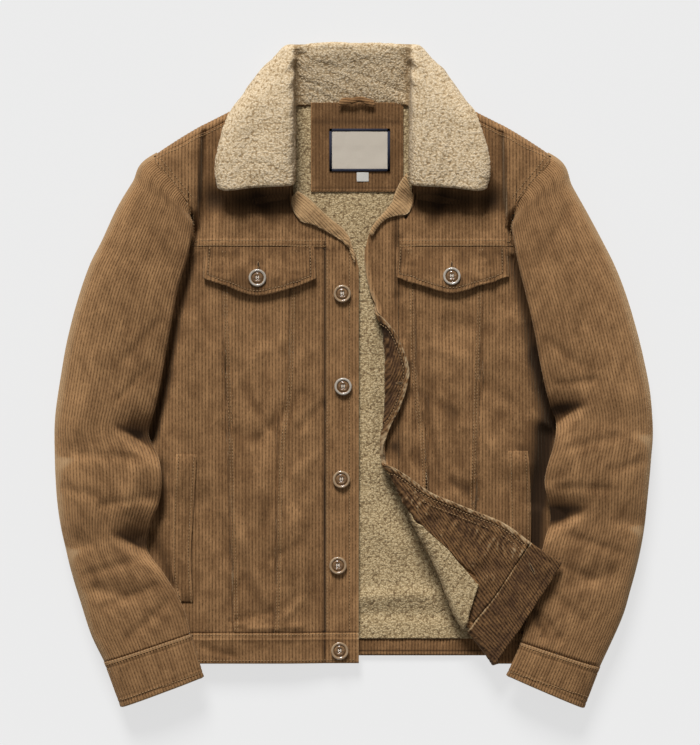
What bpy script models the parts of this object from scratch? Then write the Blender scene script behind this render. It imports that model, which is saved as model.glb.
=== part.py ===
"""Corduroy trucker jacket with a pile collar and pile lining, laid out flat with its front up.

Every size and table below is in millimetres: x runs to the viewer's right, which is the wearer's left,
y runs towards the collar, and z is the height above the surface that the jacket lies on. The origin is
on that surface, under the middle of the laid-out jacket. Blender's own unit stays the metre.
"""

import bmesh
import bpy
import numpy as np

MM = 0.001

# Cloth, as walls
CLOTH = 2.0  # corduroy with its backing
BAND = 3.2  # two layers of it, in bands, plackets and cuffs
FACING = 1.7
PILE = 5.0  # pile lining
COLLAR_WALL = 7.0  # two layers of pile cloth
TUCK_SHARE = 0.55  # of that, where the fall is pressed under the neck
GAP = 0.3  # between neighbouring pieces
SEAM_HALF = 0.22  # from a front's seam to the panels on its two sides
CLEAR = 1.5  # below what lies loosely on a panel
LABEL_WALL = 0.8
TAB_WALL = 0.5
LOOP_HIGH = 12.6
LOOP_ARCH = 2.5

# The laid-out body
PLACKET = 39  # width of either placket
EDGE_RIGHT = 7.5  # free edge of the wearer's right front, which carries the buttons
SEAM_RIGHT = PLACKET - EDGE_RIGHT  # its placket's seam, from the centre line
SEAM_LEFT = 54  # the seam of the left placket
HEM_SEAM = -302
HEM_FRONT = -338
HEM_SEAM_BACK = -307
HEM_BACK = -330
YOKE_SEAM = 155
NECK_SEAM = 317
BACK_BAND = 5.0  # the back hem band, folded double over its seams
CENTRE_HIGH = 13.0  # outer face of the fronts along the centre line
SIDE_HIGH = 8.6  # outer face of the fronts at the side seam
SIDE_ROLL = 45  # how far in from the side seam the front is still rising
BACK_ROLL = 14  # how far in from the side seam the back curls up
SHOULDER_ROLL = 24
SHOULDER_SEAM = 9  # from the outline to the shoulder seam, which lies on the front
SHOULDER_SEAM_TIP = 4  # the same at the shoulder's tip
SHOULDER_MID = 12  # height of the outline's widest point
SHOULDER_TILT = 0.85  # cosine of the shoulder's slope
ROUND = 2.6  # power of the rounded cross-sections, 2 being an ellipse
SHOULDER_STEP = 14  # the pushed-up shoulder stands this much above the chest
STEP_RUN = 7  # width of that step
LINING_IN = 18  # from the body's edge to the back lining's

# The turned-back front
ROLL = 2.5  # inner radius of the fold
FOLD_START = (42.0, -103.0)
FOLD_WAY = (0.4831, -0.8756)
FOLD_SHARE = -95  # below this height the corner's own fold line takes over
CORNER_LIFT = 23  # the corner lies on the sleeve's forearm
EDGE_AT_HEM = 24  # the free edge at the hem, if it lay flat
FOLD_JOIN = -101  # the placket ends here, and the turned-back corner starts
LINING_TOP = -186  # the lining shows below this height
# Rows of the turned-back strip, from the hem up, as heights if it lay flat
HEM_ROWS = [-338, -327, -316, -305, -294.15]
CORNER_ROWS = [
    -293.85, -276, -258, -240, -222, -204, -186, -170, -155, -140, -126, -113, -101.15,
]
PLACKET_ROWS = [-100.85, -88, -72, -54, -36, -18, 0, 18, 36, 54, 68, 82, 98, 114, 132, 150]
FACING_ROWS = 12  # of the placket's rows, from its foot, are faced
FACING_LINES = 3  # strips across the facing

# Sleeves
SLEEVE_MID = 17  # height of the widest point at the outer side
SLEEVE_REST = 12  # the same above the body, at the inner side
SLEEVE_CLEAR = 1.5
SLEEVE_BRIDGE = 8  # the underside bridges the body's edge by this much
SLEEVE_DROP = 45  # and comes down within this length below the hem
SEAM_ANGLE = 0.001  # from a sleeve's widest points to the edges of its two pieces
STATION_GAP = 0.01  # between two lengths of a sleeve, and before its cuff, as a share of a table row
LENGTHS = ["upper", "elbow", "forearm"]  # each sleeve piece is in three lengths, from the armhole down

# Trims
BUTTON_RADIUS = 10.3
BUTTON_THICK = 3.4
BUTTON_SIDES = 16
FLAP_TOP = 150
FLAP_WALL = 2.6
WELT_WALL = 1.6

# (y, distance of the body's outer edge from the centre line): hem, side seam, armhole, shoulder tip
BODY_EDGE = [
    (-345, 245), (-300, 249), (-216, 262), (-64, 256), (12, 249), (88, 235), (130, 218),
    (155, 204), (175, 193), (190, 190), (203, 194), (219, 206), (234, 218), (252, 232),
]
# (y, height of the fronts' crown)
BODY_CROWN = [(-340, 19), (-300, 21), (-200, 25), (-60, 27), (60, 26), (155, 24), (250, 23), (320, 22)]
# (distance from the centre line, y) along the shoulder's outline
SHOULDER_LINE = [(60, 355), (105, 332), (149, 308), (176, 294), (211, 273), (230, 260), (246, 246)]
# Distances from the centre line of the columns of points that both sides of the shoulder seam share,
# and of those across the pushed-up shoulder's step
SHOULDER_COLUMNS = [84, 104, 124, 144, 160, 170, 174.5, 177.5, 180.8, 187, 200, 215, 230]
STEP_COLUMNS = [183]
TIP_SLANT = 5  # the columns lean out by this much at the shoulder's tip
# Armhole seam: distance from the centre line and y of its foot and its tip
ARMHOLE_FOOT = (181, 189)
ARMHOLE_TIP = (231, 249)
# (y, distance from the centre line) of the edge of the pushed-up shoulder
STEP_EDGE = [(160, 184), (189, 181), (215, 180), (251, 178), (300, 174)]
# (y, distance from the centre line) of the two stitched seams of each front
OUTER_SEAM = [(155, 154), (102, 152), (-64, 146), (-302, 139)]
INNER_SEAM = [(155, 70), (100, 72), (-29, 78), (-71, 84), (-217, 89), (-302, 92)]
# (distance from the centre line, y) of the neckline, from the shoulder to the free edge
NECK_RIGHT = [(76, 322), (70, 222), (51, 205), (32, 187), (11, 171), (2, 156), (-4, 140), (-8, 124)]
NECK_LEFT = [(76, 322), (70, 224), (50, 206), (42, 198), (34, 188), (26, 178), (20, 168), (15, 150)]
# Left front: (y, free edge if it lay flat, where it rolls back)
ROLL_LINE = [
    (171, 19, 8), (141, 14, 6), (110, 17.5, 10), (94, 22, 16), (77, 29, 32), (64, 27, 37), (50, 23.5, 41),
    (34, 20, 43), (18, 16, 44), (4, 14.5, 44.5), (-10, 15.5, 44), (-26, 18, 43), (-42, 22.5, 42),
    (-56, 28, 41), (-70, 31.5, 40), (-83, 33, 39.5), (-105, 36, 41),
]
# (y, inner edge of the left front's facing, if it lay flat)
FACING_EDGE = [(100, 60), (-150, 72), (-184, 76), (-219, 82), (-241, 87), (-262, 90), (-294, 97)]

# Further rows of the side panels, above the yoke's seam and under the sleeve
ARMPIT_ROWS = [155, 163, 170, 176]

# Broad folds of the fronts: x, y of both ends, half width, height
BODY_FOLDS = [
    (-160, 150, -150, 30, 16, 4), (-120, 90, -128, -60, 20, -4), (-190, 60, -205, -120, 16, 4),
    (-60, 60, -70, -150, 14, -3), (-110, -120, -60, -240, 18, 4), (-170, -150, -120, -270, 16, -4),
    (150, 150, 160, 20, 16, 4), (110, 60, 88, -60, 14, -4), (88, -60, 108, -135, 9, -5),
    (190, 60, 205, -100, 15, 4), (125, 20, 135, -120, 18, 4), (175, -130, 215, -260, 16, -3),
]

# Each row of a sleeve: outer x, outer y, inner x, inner y, height of the crown
SLEEVE_RIGHT = [
    (-238.5, 256, -186, 194, 38), (-258, 226, -186, 174, 43), (-276, 196, -192, 140, 47),
    (-294, 157, -202, 107, 49), (-308, 129, -207, 84, 51), (-322, 88, -212, 56, 51),
    (-334, 42, -218, 23, 51), (-342, -3, -224, -11, 50), (-347, -36, -230, -38, 50),
    (-349, -60, -238, -68, 49), (-349, -86, -226, -97, 51), (-348, -118, -222, -120, 52),
    (-346, -146, -225, -147, 51), (-342, -175, -236, -176, 48), (-335, -207, -240, -203, 46),
    (-327, -238, -222, -228, 46), (-318, -267, -208, -250, 45), (-306, -304, -196, -274, 43),
    (-291, -335, -189, -301, 41),
]
SLEEVE_LEFT = [
    (238.5, 256, 186, 194, 38), (258, 221, 186, 172, 43), (276, 189, 193, 132, 47),
    (293, 157, 201, 99, 49), (308, 127, 207, 74, 51), (321, 93, 213, 46, 51),
    (333, 53, 218, 18, 51), (341, 20, 224, -11, 50), (348, -15, 231, -36, 50),
    (351, -44, 238, -55, 49), (352, -70, 235, -80, 51), (350, -95, 227, -106, 52),
    (348, -120, 224, -127, 51), (345, -150, 229, -150, 48), (342, -178, 231, -170, 46),
    (336, -211, 224, -192, 46), (326, -250, 216, -226, 45), (315, -286, 208, -262, 43),
    (290, -341, 197, -311, 41),
]
# The cuffs' ends, in the same columns
CUFF_RIGHT = (-271, -389, -174, -353, 36)
CUFF_LEFT = (271, -390, 180, -351, 36)
# Elbow folds, pressed in: x, y of both ends, half width, depth
ELBOW_RIGHT = [
    (-236, -70, -284, -60, 7, 17), (-238, -196, -278, -184, 7, 16), (-225, -120, -300, -128, 12, 5),
    (-290, -90, -345, -60, 12, 5), (-285, -178, -340, -200, 12, 5), (-262, -150, -250, -110, 10, -3),
]
ELBOW_LEFT = [
    (236, -55, 276, -36, 7, 17), (228, -158, 278, -152, 9, 17), (226, -112, 300, -100, 12, 5),
    (285, -30, 345, -10, 12, 5), (285, -150, 340, -175, 12, 5), (262, -132, 252, -80, 10, -3),
]

# The collar's sections, from its right front end to the centre of the back. Each is a run of points
# from the neck seam over the roll and down the fall; at the back the fall is tucked to the underside.
COLLAR = [
    [(-67, 224, 26), (-70, 221, 40), (-112, 218, 46), (-158, 215, 41)],
    [(-67, 250, 26), (-70, 250, 42), (-115, 247, 47), (-162, 240, 41)],
    [(-67, 285, 23), (-70, 285, 42), (-112, 280, 45), (-157, 272, 39)],
    [(-65, 306, 17), (-70, 318, 40), (-103, 315, 43), (-138, 309, 35), (-143, 309, 29), (-142, 311, 24)],
    [(-58, 316, 13), (-71, 344, 32), (-98, 342, 34), (-124, 339, 17), (-125, 336, 6), (-119, 330, 0)],
    [(-50, 318.5, 9), (-71, 366, 27), (-88, 366, 25), (-104, 364, 12), (-101, 358, 1), (-92, 344, 0)],
    [(-36, 319.5, 7), (-60, 381, 23), (-72, 386, 19), (-78, 388, 11), (-75, 380, 1), (-66, 347, 0)],
    [(-18, 319.5, 6), (-30, 386, 22), (-33, 390, 17), (-34, 391, 10), (-33, 381, 1), (-30, 328, 0)],
    [(0, 319.5, 6), (0, 386, 22), (0, 390, 17), (0, 391, 10), (0, 381, 1), (0, 325, 0)],
]
# Turned-out corners of the neckline: roll x, roll y, outer x, outer y
NECK_TURN_RIGHT = [
    (-64, 218, -72, 211), (-58, 212, -71, 199), (-51, 206, -63, 185), (-38, 193, -44, 177),
    (-24, 181, -29, 169), (-11, 171, -16, 160), (-3, 159, -8, 151),
]
NECK_TURN_LEFT = [
    (19, 168, 24, 163), (26, 179, 31, 174), (36, 190, 41, 183), (45, 201, 50, 186),
    (49, 212, 65, 189), (55, 225, 72, 206), (64, 238, 66, 228),
]
# Pocket flaps: (x, y of the lower edge)
FLAP_RIGHT = [(-173, 114), (-153, 105.5), (-127, 96.5), (-109, 93.2), (-92, 96), (-70, 102.5), (-44, 113)]
FLAP_LEFT = [(51, 116), (78, 106), (101, 98.5), (116, 95.8), (131, 98.5), (153, 105.5), (181, 115)]
# Welts of the side pockets: (y, one edge, other edge)
WELT_RIGHT = [(-266, -203, -186), (-219, -211, -189), (-171, -211, -187), (-92, -206, -182)]
WELT_LEFT = [(-215, 185, 208), (-171, 184, 208), (-88, 182, 205)]
# Buttons: name, x, y, height above the front of what each lies on
BUTTONS = [
    ("button_1", -12, 96, 0), ("button_2", -11, -13, 0), ("button_3", -13, -122, 0),
    ("button_4", -17, -223, 0), ("button_5", -15, -323, 0),
    ("flap_button_right", -111, 114, 3.9), ("flap_button_left", 116, 116, 3.9),
]
# Flat trims at the back of the neck: low x, low y, high x, high y
NECK_FACING = (-49, 216, 60, 317)
LABEL = (-27, 240, 44, 290)
SIZE_TAB = (5, 228, 19, 239)
HANGER_LOOP = (-16, 316, 26, 324)

CORDUROY = ("corduroy", (0.20, 0.115, 0.052), 0.95)
CORDUROY_BACK = ("corduroy_reverse", (0.25, 0.155, 0.078), 0.95)
PILE_CLOTH = ("pile_cloth", (0.53, 0.43, 0.29), 1.0)
HORN = ("horn_plastic", (0.30, 0.18, 0.08), 0.4)
LABEL_CLOTH = ("label_cloth", (0.45, 0.40, 0.33), 0.8)
TAB_CLOTH = ("tab_cloth", (0.75, 0.74, 0.70), 0.8)


def along(rows, station):
    """Smooth values at a station of a table whose first column holds the stations."""
    table = np.array(sorted(rows), float)
    stations, values = table[:, 0], table[:, 1:]
    slopes = np.gradient(values, stations, axis=0)
    at = np.clip(np.asarray(station, float), stations[0], stations[-1])
    k = np.clip(np.searchsorted(stations, at, side="right") - 1, 0, len(stations) - 2)
    step = (stations[k + 1] - stations[k])[..., None]
    t = (at - stations[k])[..., None] / step
    smooth = (
        (2 * t**3 - 3 * t**2 + 1) * values[k]
        + (t**3 - 2 * t**2 + t) * step * slopes[k]
        + (3 * t**2 - 2 * t**3) * values[k + 1]
        + (t**3 - t**2) * step * slopes[k + 1]
    )
    return smooth[..., 0] if values.shape[1] == 1 else smooth


def ease(t):
    """0 to 1, with soft ends."""
    t = np.clip(t, 0, 1)
    return t * t * (3 - 2 * t)


def rounding(t):
    """A rounded edge: 0 at the edge and 1 a full roll in from it."""
    return (1 - (1 - np.clip(t, 0, 1)) ** ROUND) ** (1 / ROUND)


def evenly(points, count):
    """That many points at equal steps along a smooth curve through a few."""
    points = np.array(points, float)
    reach = np.concatenate([[0], np.cumsum(np.linalg.norm(np.diff(points, axis=0), axis=1))])
    dense = along(np.column_stack([reach, points]).tolist(), np.linspace(0, reach[-1], 20 * len(points)))
    run = np.concatenate([[0], np.cumsum(np.linalg.norm(np.diff(dense, axis=0), axis=1))])
    steps = np.linspace(0, run[-1], count)
    return np.column_stack([np.interp(steps, run, dense[:, i]) for i in range(points.shape[1])])


def folds(x, y, table):
    """The sum of soft ridges, each along a line between two points."""
    total = np.zeros(np.broadcast(x, y).shape)
    for x0, y0, x1, y1, half_width, height in table:
        length = np.hypot(x1 - x0, y1 - y0)
        lengthwise = ((x - x0) * (x1 - x0) + (y - y0) * (y1 - y0)) / length**2
        aside = ((x - x0) * (y1 - y0) - (y - y0) * (x1 - x0)) / length
        past = np.maximum(np.abs(lengthwise - 0.5) - 0.5, 0) * length
        total = total + height * np.exp(-(aside**2 + past**2) / half_width**2)
    return total


# The body's form


def inside_edge(x, y):
    """How far a point lies in from the body's outer edge."""
    return along(BODY_EDGE, y) - np.abs(x)


def inside_shoulder(x, y):
    """How far a point lies below the shoulder's outline."""
    return (along(SHOULDER_LINE, np.abs(x)) - y) * SHOULDER_TILT


def armhole_seam(out):
    """y of the armhole seam at a distance from the centre line."""
    (x0, y0), (x1, y1) = ARMHOLE_FOOT, ARMHOLE_TIP
    return y0 + (out - x0) * (y1 - y0) / (x1 - x0)


def shoulder_seam(out):
    """How far the shoulder seam lies in from the outline."""
    return SHOULDER_SEAM + (SHOULDER_SEAM_TIP - SHOULDER_SEAM) * ease((out - 195) / 35)


def pushed_up(x, y):
    """1 on the pushed-up shoulder, 0 on the chest."""
    beyond = (np.abs(x) - along(STEP_EDGE, y)) / STEP_RUN
    over_seam = (y - armhole_seam(np.abs(x))) / np.hypot(1, 1.2)
    return ease(beyond + 0.5) * ease(1 + over_seam / 8)


def chest_height(x, y):
    """Height of the chest, with its broad folds."""
    crown = along(BODY_CROWN, y) + folds(x, y, BODY_FOLDS)
    return CENTRE_HIGH + (crown - CENTRE_HIGH) * ease((np.abs(x) - 12) / 75)


def low_height(x, y):
    """The chest with its sides rounded down to the side seams, and falling away past them."""
    inside = inside_edge(x, y)
    side = 1 - (1 - np.clip(inside / SIDE_ROLL, 0, 1)) ** ROUND
    return SIDE_HIGH + (chest_height(x, y) - SIDE_HIGH) * side + 1.4 * np.minimum(inside, 0)


def front_height(x, y):
    """Height of the fronts' outer face."""
    share = pushed_up(x, y)
    level = low_height(x, y) * (1 - share) + (chest_height(x, y) + SHOULDER_STEP) * share
    edge = rounding(inside_shoulder(x, y) / SHOULDER_ROLL)
    return SHOULDER_MID + (level - SHOULDER_MID) * edge


def back_height(x, y):
    """Height of the back's outer face, which lies flat but for its rolled edges."""
    curl = SIDE_HIGH - 2 * CLOTH - GAP
    return curl * (1 - np.clip(inside_edge(x, y) / BACK_ROLL, 0, 1)) ** 2


# The left front's roll


def free_edge(y):
    """Free edge of the left front, if it lay flat."""
    foot = ROLL_LINE[-1]
    share = np.clip((foot[0] - y) / (foot[0] - HEM_FRONT), 0, 1)
    return np.where(y < foot[0], foot[1] + (EDGE_AT_HEM - foot[1]) * share, along(ROLL_LINE, y)[..., 0])


def corner_fold(y):
    """x of the corner's fold line."""
    return FOLD_START[0] + (y - FOLD_START[1]) * FOLD_WAY[0] / FOLD_WAY[1]


def corner_share(y):
    return ease((FOLD_SHARE - y) / 20)


def bend_line(y):
    """x of the line where the left front rolls back."""
    share = corner_share(y)
    return along(ROLL_LINE, y)[..., 1] * (1 - share) + corner_fold(y) * share


def rolled(x, y, n, turned, way):
    """A point of the flat front taken round a fold, beyond whose line it lies by turned."""
    angle = np.clip(turned / ROLL, 0, np.pi)
    beyond = (ROLL - n) * np.sin(angle) - np.maximum(turned - np.pi * ROLL, 0)
    shift = np.where(turned > 0, turned - beyond, 0)
    px = x + shift * way[0]
    py = y + shift * way[1]
    lift = CORNER_LIFT * ease((px - 140) / 85) * ease(-(py + 100) / 60) * ease(angle / np.pi)
    pz = front_height(px, py) + ROLL - (ROLL - n) * np.cos(angle) + lift
    return np.stack([px, py, pz], -1)


def turned_back(x, y, n):
    """Where a point of the flat left front lies; n is its height over the outer face."""
    (x0, y0), (dx, dy) = FOLD_START, FOLD_WAY
    upper = rolled(x, y, n, along(ROLL_LINE, y)[..., 1] - x, (1, 0))
    corner = rolled(x, y, n, (x - x0) * dy - (y - y0) * dx, (-dy, dx))
    share = corner_share(y)[..., None]
    return upper * (1 - share) + corner * share


# The sleeves' form


def sleeve_floor(x, y):
    """Height that a sleeve's underside rests at, on the surface or bridging the body's edge."""
    bridged = np.sign(x) * np.maximum(np.abs(x) - SLEEVE_BRIDGE, 0)
    over_hem = ease((y - HEM_FRONT) / SLEEVE_DROP + 1)
    return np.maximum(low_height(bridged, y) + SLEEVE_CLEAR, 0) * over_hem


def sleeve_ring(row, angle, elbow):
    """Points round a sleeve's section. The angle runs from its outer side over the top to the inner side."""
    outer_x, outer_y, inner_x, inner_y, crown = np.moveaxis(np.asarray(row, float)[..., None], -2, 0)
    across = -np.sign(np.cos(angle)) * np.abs(np.cos(angle)) ** (2 / ROUND)
    share = (across + 1) / 2
    x = outer_x + (inner_x - outer_x) * share
    y = outer_y + (inner_y - outer_y) * share
    mid = SLEEVE_MID + (sleeve_floor(inner_x, inner_y) + SLEEVE_REST - SLEEVE_MID) * share
    floor = sleeve_floor(x, y)
    full = np.abs(np.sin(angle)) ** (2 / ROUND)
    top = mid + (crown - mid - folds(x, y, elbow)) * full
    bottom = mid + (floor - mid) * full
    return np.stack([x, y, np.where(np.sin(angle) >= 0, top, bottom)], -1)


# Building


def add_piece(name, bm, look, collection):
    """The bmesh as an object, smooth but for its sharp edges."""
    title, colour, roughness = look
    surface = bpy.data.materials.get(title) or bpy.data.materials.new(title)
    surface.use_nodes = True
    shader = surface.node_tree.nodes["Principled BSDF"]
    shader.inputs["Base Color"].default_value = (*colour, 1)
    shader.inputs["Roughness"].default_value = roughness
    shader.inputs["Metallic"].default_value = 0
    mesh = bpy.data.meshes.new(name)
    bm.to_mesh(mesh)
    bm.free()
    mesh.shade_smooth()
    mesh.set_sharp_from_angle(angle=np.radians(50))
    mesh.materials.append(surface)
    piece = bpy.data.objects.new(name, mesh)
    collection.objects.link(piece)
    return piece


def add_sheet(name, outer, inner, look, collection, keep=None, closed=False):
    """A wall of cloth between two nets of points, its outer and its inner side.

    Only the net's squares that keep marks are built, or all without it. A closed net is a tube, whose
    first and last line of points are the same.
    """
    across, lengthwise = outer.shape[:2]
    bm = bmesh.new()
    bmesh.ops.create_grid(bm, x_segments=across - 1, y_segments=lengthwise - 1, size=1)
    line = bm.verts.layers.int.new("line")
    row = bm.verts.layers.int.new("row")
    for vert in bm.verts:
        vert[line] = round((vert.co.x + 1) / 2 * (across - 1))
        vert[row] = round((vert.co.y + 1) / 2 * (lengthwise - 1))
    if keep is not None:
        spare = [f for f in bm.faces if not keep[min(v[line] for v in f.verts), min(v[row] for v in f.verts)]]
        bmesh.ops.delete(bm, geom=spare, context="FACES")
    for vert in bm.verts:
        vert.co = outer[vert[line], vert[row]] * MM
    if closed:
        bmesh.ops.remove_doubles(bm, verts=bm.verts, dist=0.01 * MM)
    wall = bmesh.ops.extrude_face_region(bm, geom=bm.faces[:], use_keep_orig=True)
    for vert in wall["geom"]:
        if isinstance(vert, bmesh.types.BMVert):
            vert.co = inner[vert[line], vert[row]] * MM
    bmesh.ops.recalc_face_normals(bm, faces=bm.faces)
    return add_piece(name, bm, look, collection)


def add_draped(name, x, y, wall, look, collection, raised=0.0, keep=None):
    """A sheet that follows the fronts, its outer side raised by so much over them."""
    return add_sheet(name, on_front(x, y, raised), on_front(x, y, raised - wall), look, collection, keep)


def add_level(name, x, y, top, wall, look, collection):
    """A sheet that lies level, or at the heights given."""
    return add_sheet(name, at_height(x, y, top), at_height(x, y, top - wall), look, collection)


def facings_of(net, up=1):
    """The unit normals of a net of points, which face mostly up, or mostly down with up at -1."""
    normal = np.cross(np.gradient(net, axis=0), np.gradient(net, axis=1))
    normal /= np.linalg.norm(normal, axis=-1, keepdims=True)
    return normal * np.sign(normal[..., 2].sum()) * up


def rows_net(left, right, y, across):
    """A net between a left and a right edge, each given as an x for every y."""
    u = np.linspace(0, 1, across)[:, None]
    x = left[None, :] * (1 - u) + right[None, :] * u
    return x, np.broadcast_to(y, x.shape)


def columns_net(x, bottom, top, lengthwise):
    """A net between a lower and an upper edge, each given as a y for every x."""
    v = np.linspace(0, 1, lengthwise)[None, :]
    y = bottom[:, None] * (1 - v) + top[:, None] * v
    return np.broadcast_to(x[:, None], y.shape), y


def on_front(x, y, raised=0.0):
    """Points of the fronts' outer face, moved out along its normal."""
    step = 1.5
    slope_x = (front_height(x + step, y) - front_height(x - step, y)) / (2 * step)
    slope_y = (front_height(x, y + step) - front_height(x, y - step)) / (2 * step)
    normal = np.stack([-slope_x, -slope_y, np.ones_like(slope_x)], -1)
    normal /= np.linalg.norm(normal, axis=-1, keepdims=True)
    return np.stack([x, y, front_height(x, y)], -1) + normal * np.asarray(raised)[..., None]


def at_height(x, y, z):
    return np.stack([x, y, np.broadcast_to(z, x.shape)], -1)


def add_back(jacket):
    """The back below its yoke, its hem band, and the yoke, which wraps over the shoulders to the front."""
    y = np.linspace(HEM_SEAM_BACK + GAP, YOKE_SEAM - GAP, 9)
    share = np.array([-1, -0.97, -0.92, -0.5, 0, 0.5, 0.92, 0.97, 1])
    x = share[:, None] * along(BODY_EDGE, y)
    y = np.broadcast_to(y, x.shape)
    add_level("back_body", x, y, back_height(x, y) + CLOTH, CLOTH, CORDUROY, jacket)

    y = np.linspace(HEM_BACK, HEM_SEAM_BACK, 3)
    x, y = rows_net(-along(BODY_EDGE, y), along(BODY_EDGE, y), y, 9)
    add_level("back_hem_band", x, y, BACK_BAND, BACK_BAND, CORDUROY, jacket)

    out = np.array([0, 35, 74] + SHOULDER_COLUMNS)
    half = np.stack([evenly(shoulder_path(distance), 10) for distance in out])
    outer = np.concatenate([half[:0:-1] * (-1, 1, 1), half])
    outer[..., 2] = np.maximum(outer[..., 2], 0)
    inner = outer - facings_of(outer, -1) * CLOTH
    wraps = np.abs(outer[:, -1, 0]) > 80
    inner[wraps, -1] = on_front(*outer[wraps, -1, :2].T, -CLOTH)
    add_sheet("back_yoke", outer, inner, CORDUROY, jacket)


def shoulder_path(out):
    """The back yoke's line at a distance from the centre: along the floor, then over the shoulder."""
    foot = YOKE_SEAM if out < 190 else armhole_seam(out)
    if out < 80:
        neck = along([(0, NECK_SEAM), (40, NECK_SEAM + 1), (74, NECK_SEAM + 6)], out)
        return [(out, y, 0) for y in np.linspace(foot, neck, 6)]
    outline = along(SHOULDER_LINE, out)
    depth = (outline - foot) * SHOULDER_TILT
    under = depth * (1 - np.linspace(0, 1, 9)) ** 2
    curl = SHOULDER_MID * (1 - rounding(under / SHOULDER_ROLL))
    path = [(out, outline - d / SHOULDER_TILT, z) for d, z in zip(under, curl)]
    for share in (0.05, 0.18, 0.5, 1):
        y = outline - (shoulder_seam(out) - 2 * GAP) * share / SHOULDER_TILT
        path.append((out, y, front_height(out, y)))
    return path


def add_lining(jacket):
    """The pile lining of the back, seen between the fronts, and the corduroy facing below the neck."""
    y = np.concatenate([np.linspace(HEM_SEAM_BACK + GAP, 235, 8), [262, 288, 302, NECK_SEAM]])
    by_height = [(high, out) for out, high in SHOULDER_LINE]
    edge = np.minimum(along(BODY_EDGE, y) - LINING_IN, along(by_height, y + 32) - 6)
    edge = np.minimum(edge, np.where(y > 284, 70, edge))
    x, y = rows_net(-edge, edge, y, 7)
    add_level("back_lining", x, y, CLOTH + GAP + PILE, PILE, PILE_CLOTH, jacket)
    top = CLOTH + GAP + PILE + GAP + FACING
    add_trim("neck_facing", NECK_FACING, top, FACING, CORDUROY_BACK, jacket)
    add_trim("label", LABEL, top + GAP + LABEL_WALL, LABEL_WALL, LABEL_CLOTH, jacket)
    add_trim("size_tab", SIZE_TAB, top + GAP + TAB_WALL, TAB_WALL, TAB_CLOTH, jacket)


def add_trim(name, corners, top, wall, look, jacket):
    """A flat, level rectangle of cloth."""
    low_x, low_y, high_x, high_y = corners
    x, y = np.meshgrid(np.linspace(low_x, high_x, 3), np.linspace(low_y, high_y, 3), indexing="ij")
    add_level(name, x, y, top, wall, look, jacket)


def add_hanger_loop(jacket):
    low_x, low_y, high_x, high_y = HANGER_LOOP
    x, y = np.meshgrid(np.linspace(low_x, high_x, 9), np.linspace(low_y, high_y, 3), indexing="ij")
    arch = LOOP_ARCH * np.sin(np.pi * (x - low_x) / (high_x - low_x))
    add_level("hanger_loop", x, y, LOOP_HIGH + arch, CLOTH, CORDUROY, jacket)


def add_front_panels(jacket):
    """Side, middle and inner panels of both fronts, from the hem band's seam to the yoke's."""
    y = np.concatenate([
        np.linspace(HEM_SEAM + GAP, -125, 10), [FOLD_JOIN - 0.5 * GAP, FOLD_JOIN + 0.5 * GAP],
        np.linspace(-84, YOKE_SEAM - GAP, 13), ARMPIT_ROWS,
    ])
    for side, sign in (("right", -1), ("left", 1)):
        edge = sign * (along(BODY_EDGE, y) - GAP)
        outer = sign * along(OUTER_SEAM, y)
        inner = sign * along(INNER_SEAM, y)
        placket = np.full_like(y, -SEAM_RIGHT)
        if side == "left":
            fold = corner_fold(y) + GAP
            outer, inner = np.maximum(outer, fold), np.maximum(inner, fold)
            placket = np.where(y > FOLD_JOIN, SEAM_LEFT, np.maximum(fold, 0))
        below = y < YOKE_SEAM - GAP / 2
        armpit = np.where(below, outer, sign * (ARMHOLE_FOOT[0] + GAP))
        for name, far, near, across in (
            ("side", edge, armpit, 7), ("middle", outer, inner, 6), ("inner", inner, placket, 5),
        ):
            rows = (np.abs(far - near) > 4) & (below | (name == "side"))
            low, high = sorted((far[rows], near[rows]), key=np.mean)
            x, level = rows_net(low + SEAM_HALF, high - SEAM_HALF, y[rows], across)
            add_draped(f"{side}_front_{name}", x, level, CLOTH, CORDUROY, jacket)


def add_front_yokes(jacket):
    """The fronts above the yoke seam: to the neckline, the shoulder seam and the armhole seam."""
    for side, sign, neck, placket in (
        ("right", -1, NECK_RIGHT, SEAM_RIGHT), ("left", 1, NECK_LEFT, SEAM_LEFT),
    ):
        out = np.concatenate([
            np.linspace(placket + GAP, 69, 3), SHOULDER_COLUMNS, STEP_COLUMNS,
        ])
        out.sort()
        if side == "right":
            out = out[::-1]
        slant = TIP_SLANT * ease((out - 196) / 34)
        bottom = np.where(out < 182, YOKE_SEAM + GAP, armhole_seam(out + slant) + GAP)
        seam = along(SHOULDER_LINE, out) - shoulder_seam(out) / SHOULDER_TILT
        top = np.where(out < 76, along(neck, out), seam)
        x, y = columns_net(sign * out, bottom, top, 10)
        x = x + sign * slant[:, None] * np.linspace(1, 0, 10)
        add_draped(f"{side}_front_yoke", x, y, CLOTH, CORDUROY, jacket)


def add_right_placket(jacket):
    x = np.linspace(-SEAM_RIGHT + GAP, EDGE_RIGHT, 4)
    x, y = columns_net(x, np.full_like(x, HEM_SEAM + GAP), along(NECK_RIGHT, -x), 16)
    add_draped("right_placket", x, y, BAND, CORDUROY, jacket)


def add_hem_bands(jacket):
    y = np.linspace(HEM_FRONT, HEM_SEAM, 4)
    edge = along(BODY_EDGE, y)
    x, level = rows_net(-edge, np.full_like(y, EDGE_RIGHT), y, 18)
    add_draped("right_hem_band", x, level, BAND, CORDUROY, jacket)
    x, level = rows_net(corner_fold(y) + GAP, edge, y, 8)
    add_draped("left_hem_band", x, level, BAND, CORDUROY, jacket)


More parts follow.
